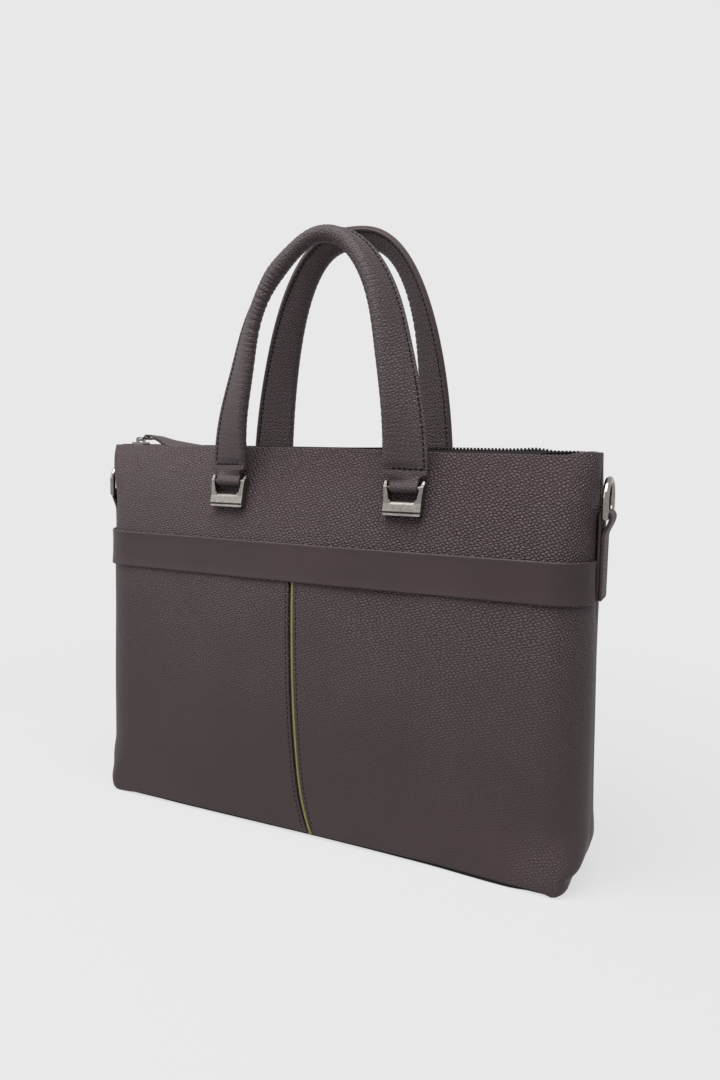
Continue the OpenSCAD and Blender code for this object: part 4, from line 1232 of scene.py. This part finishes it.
def metal_finishes():
    """CAD parts that keep their shape get rounded edges and their metal, and the board its finish."""
    finishes = {"bracket": (satin_nickel, 0.5), "pin": (satin_nickel, 0.1), "ring_left": (bright_nickel, 0),
                "ring_right": (bright_nickel, 0), "zip_slider": (bright_nickel, 0.2),
                "pull_link": (bright_nickel, 0), "zip_end_stop": (gunmetal, 0.1),
                "front_bracket_screws": (satin_nickel, 0.1), "back_bracket_screws": (satin_nickel, 0.1),
                "base_board": (board, 0.1)}
    for name, piece in frame["nodes"].items():
        for start, (material, width) in finishes.items():
            if not name.startswith(start):
                continue
            piece.data.materials.clear()
            piece.data.materials.append(material)
            weld = piece.modifiers.new("weld", "WELD")
            weld.merge_threshold = 1e-6
            if width:
                round_edges(piece, width)


upper_panel()
lower_panel(-1, "left")
lower_panel(1, "right")
back_leather()
band()
seam_strip()
inside()
seam_stitches()
handle("front")
handle("back")
ring_tab(-1, "left")
ring_tab(1, "right")
zip_tapes()
zip_teeth()
end_tabs()
pull_leather()
metal_finishes()


# Stage

PALE = "#e8e8e8"
PAPER = "#c6c6c6"
ROOM_LIGHT = 0.22
FLOOR_HALF = 6.0
# Just under the base, so that the two don't share a plane
FLOOR_Z = -0.0003
# Distances from the bag between which the floor gives up its last shading
SHADE_REACH = (0.2, 0.75)


def pale_rays(tree):
    """1 for rays that see the backdrop straight, in metal or through glass."""
    path = add_node(tree, "LightPath")
    seen = add_node(tree, "Math", {0: path.outputs["Is Camera Ray"], 1: path.outputs["Is Glossy Ray"]},
                    operation="MAXIMUM")
    return add_node(tree, "Math", {0: seen.outputs["Value"], 1: path.outputs["Is Transmission Ray"]},
                    operation="MAXIMUM").outputs["Value"]


def studio_world():
    """Even room light, and a pale backdrop for the rays that see it."""
    world = bpy.data.worlds.new("studio")
    bpy.context.scene.world = world
    world.use_nodes = True
    tree = world.node_tree
    tree.nodes.clear()
    room = add_node(tree, "Background", {"Color": (1, 1, 1, 1), "Strength": ROOM_LIGHT})
    pale = add_node(tree, "Background", {"Color": linear(PALE), "Strength": 1.0})
    mixed = add_node(tree, "MixShader", {0: pale_rays(tree), 1: room.outputs[0], 2: pale.outputs[0]})
    add_node(tree, "OutputWorld", {"Surface": mixed.outputs[0]})


def floor():
    """Pale paper: matt, shaded by the bag close by, and the backdrop's colour further off."""
    mesh = bpy.data.meshes.new("studio_floor")
    corners = [(-1, -1), (1, -1), (1, 1), (-1, 1)]
    mesh.from_pydata([(x * FLOOR_HALF, y * FLOOR_HALF, FLOOR_Z) for x, y in corners], [], [(0, 1, 2, 3)])
    material, tree, place = start_material("pale_paper")
    paper = add_node(tree, "BsdfDiffuse", {"Color": linear(PAPER)})
    glow = add_node(tree, "Emission", {"Color": linear(PALE), "Strength": 1.0})
    away = add_node(tree, "VectorMath", {0: place}, operation="LENGTH")
    share = add_node(tree, "MapRange", {
        "Value": away.outputs["Value"], "From Min": SHADE_REACH[0], "From Max": SHADE_REACH[1],
        "To Min": 0.8, "To Max": 1.0}, interpolation_type="SMOOTHSTEP")
    soft = add_node(tree, "MixShader", {0: share.outputs["Result"], 1: paper.outputs[0], 2: glow.outputs[0]})
    mixed = add_node(tree, "MixShader", {0: pale_rays(tree), 1: paper.outputs[0], 2: soft.outputs[0]})
    add_node(tree, "OutputMaterial", {"Surface": mixed.outputs[0]})
    mesh.materials.append(material)
    piece = bpy.data.objects.new("studio_floor", mesh)
    bpy.context.scene.collection.objects.link(piece)


LIGHT_TARGET = (0, 0, 0.2)


def softbox(name, place, size, power):
    light = bpy.data.lights.new(name, "AREA")
    light.shape = "RECTANGLE"
    light.size, light.size_y = size
    light.energy = power
    lamp = bpy.data.objects.new(name, light)
    lamp.location = place
    lamp.rotation_euler = (Vector(LIGHT_TARGET) - Vector(place)).to_track_quat("-Z", "Y").to_euler()
    bpy.context.scene.collection.objects.link(lamp)


CAMERA_PLACE = (0.2793, -0.54663, 0.29557)
CAMERA_YAW = 25.11
CAMERA_PITCH = 6.93
CAMERA_ROLL = 0.73
FOCAL_PX = 817.09
IMAGE_H = 1080


def camera():
    data = bpy.data.cameras.new("camera")
    data.sensor_width = 36
    data.lens = FOCAL_PX / IMAGE_H * data.sensor_width
    data.clip_start = 0.01
    piece = bpy.data.objects.new("camera", data)
    piece.matrix_world = (Matrix.Translation(CAMERA_PLACE)
                          @ Matrix.Rotation(math.radians(CAMERA_YAW), 4, "Z")
                          @ Matrix.Rotation(math.radians(90 - CAMERA_PITCH), 4, "X")
                          @ Matrix.Rotation(math.radians(CAMERA_ROLL), 4, "Z"))
    bpy.context.scene.collection.objects.link(piece)
    bpy.context.scene.camera = piece


studio_world()
floor()
softbox("key", (-1.3, -0.95, 1.2), (1.5, 1.5), 14.5)
softbox("top", (0.0, -0.7, 2.0), (2.0, 1.6), 60)
softbox("fill", (1.7, -0.9, 0.8), (1.6, 1.6), 1.0)
camera()
bpy.context.scene.view_settings.view_transform = "Standard"
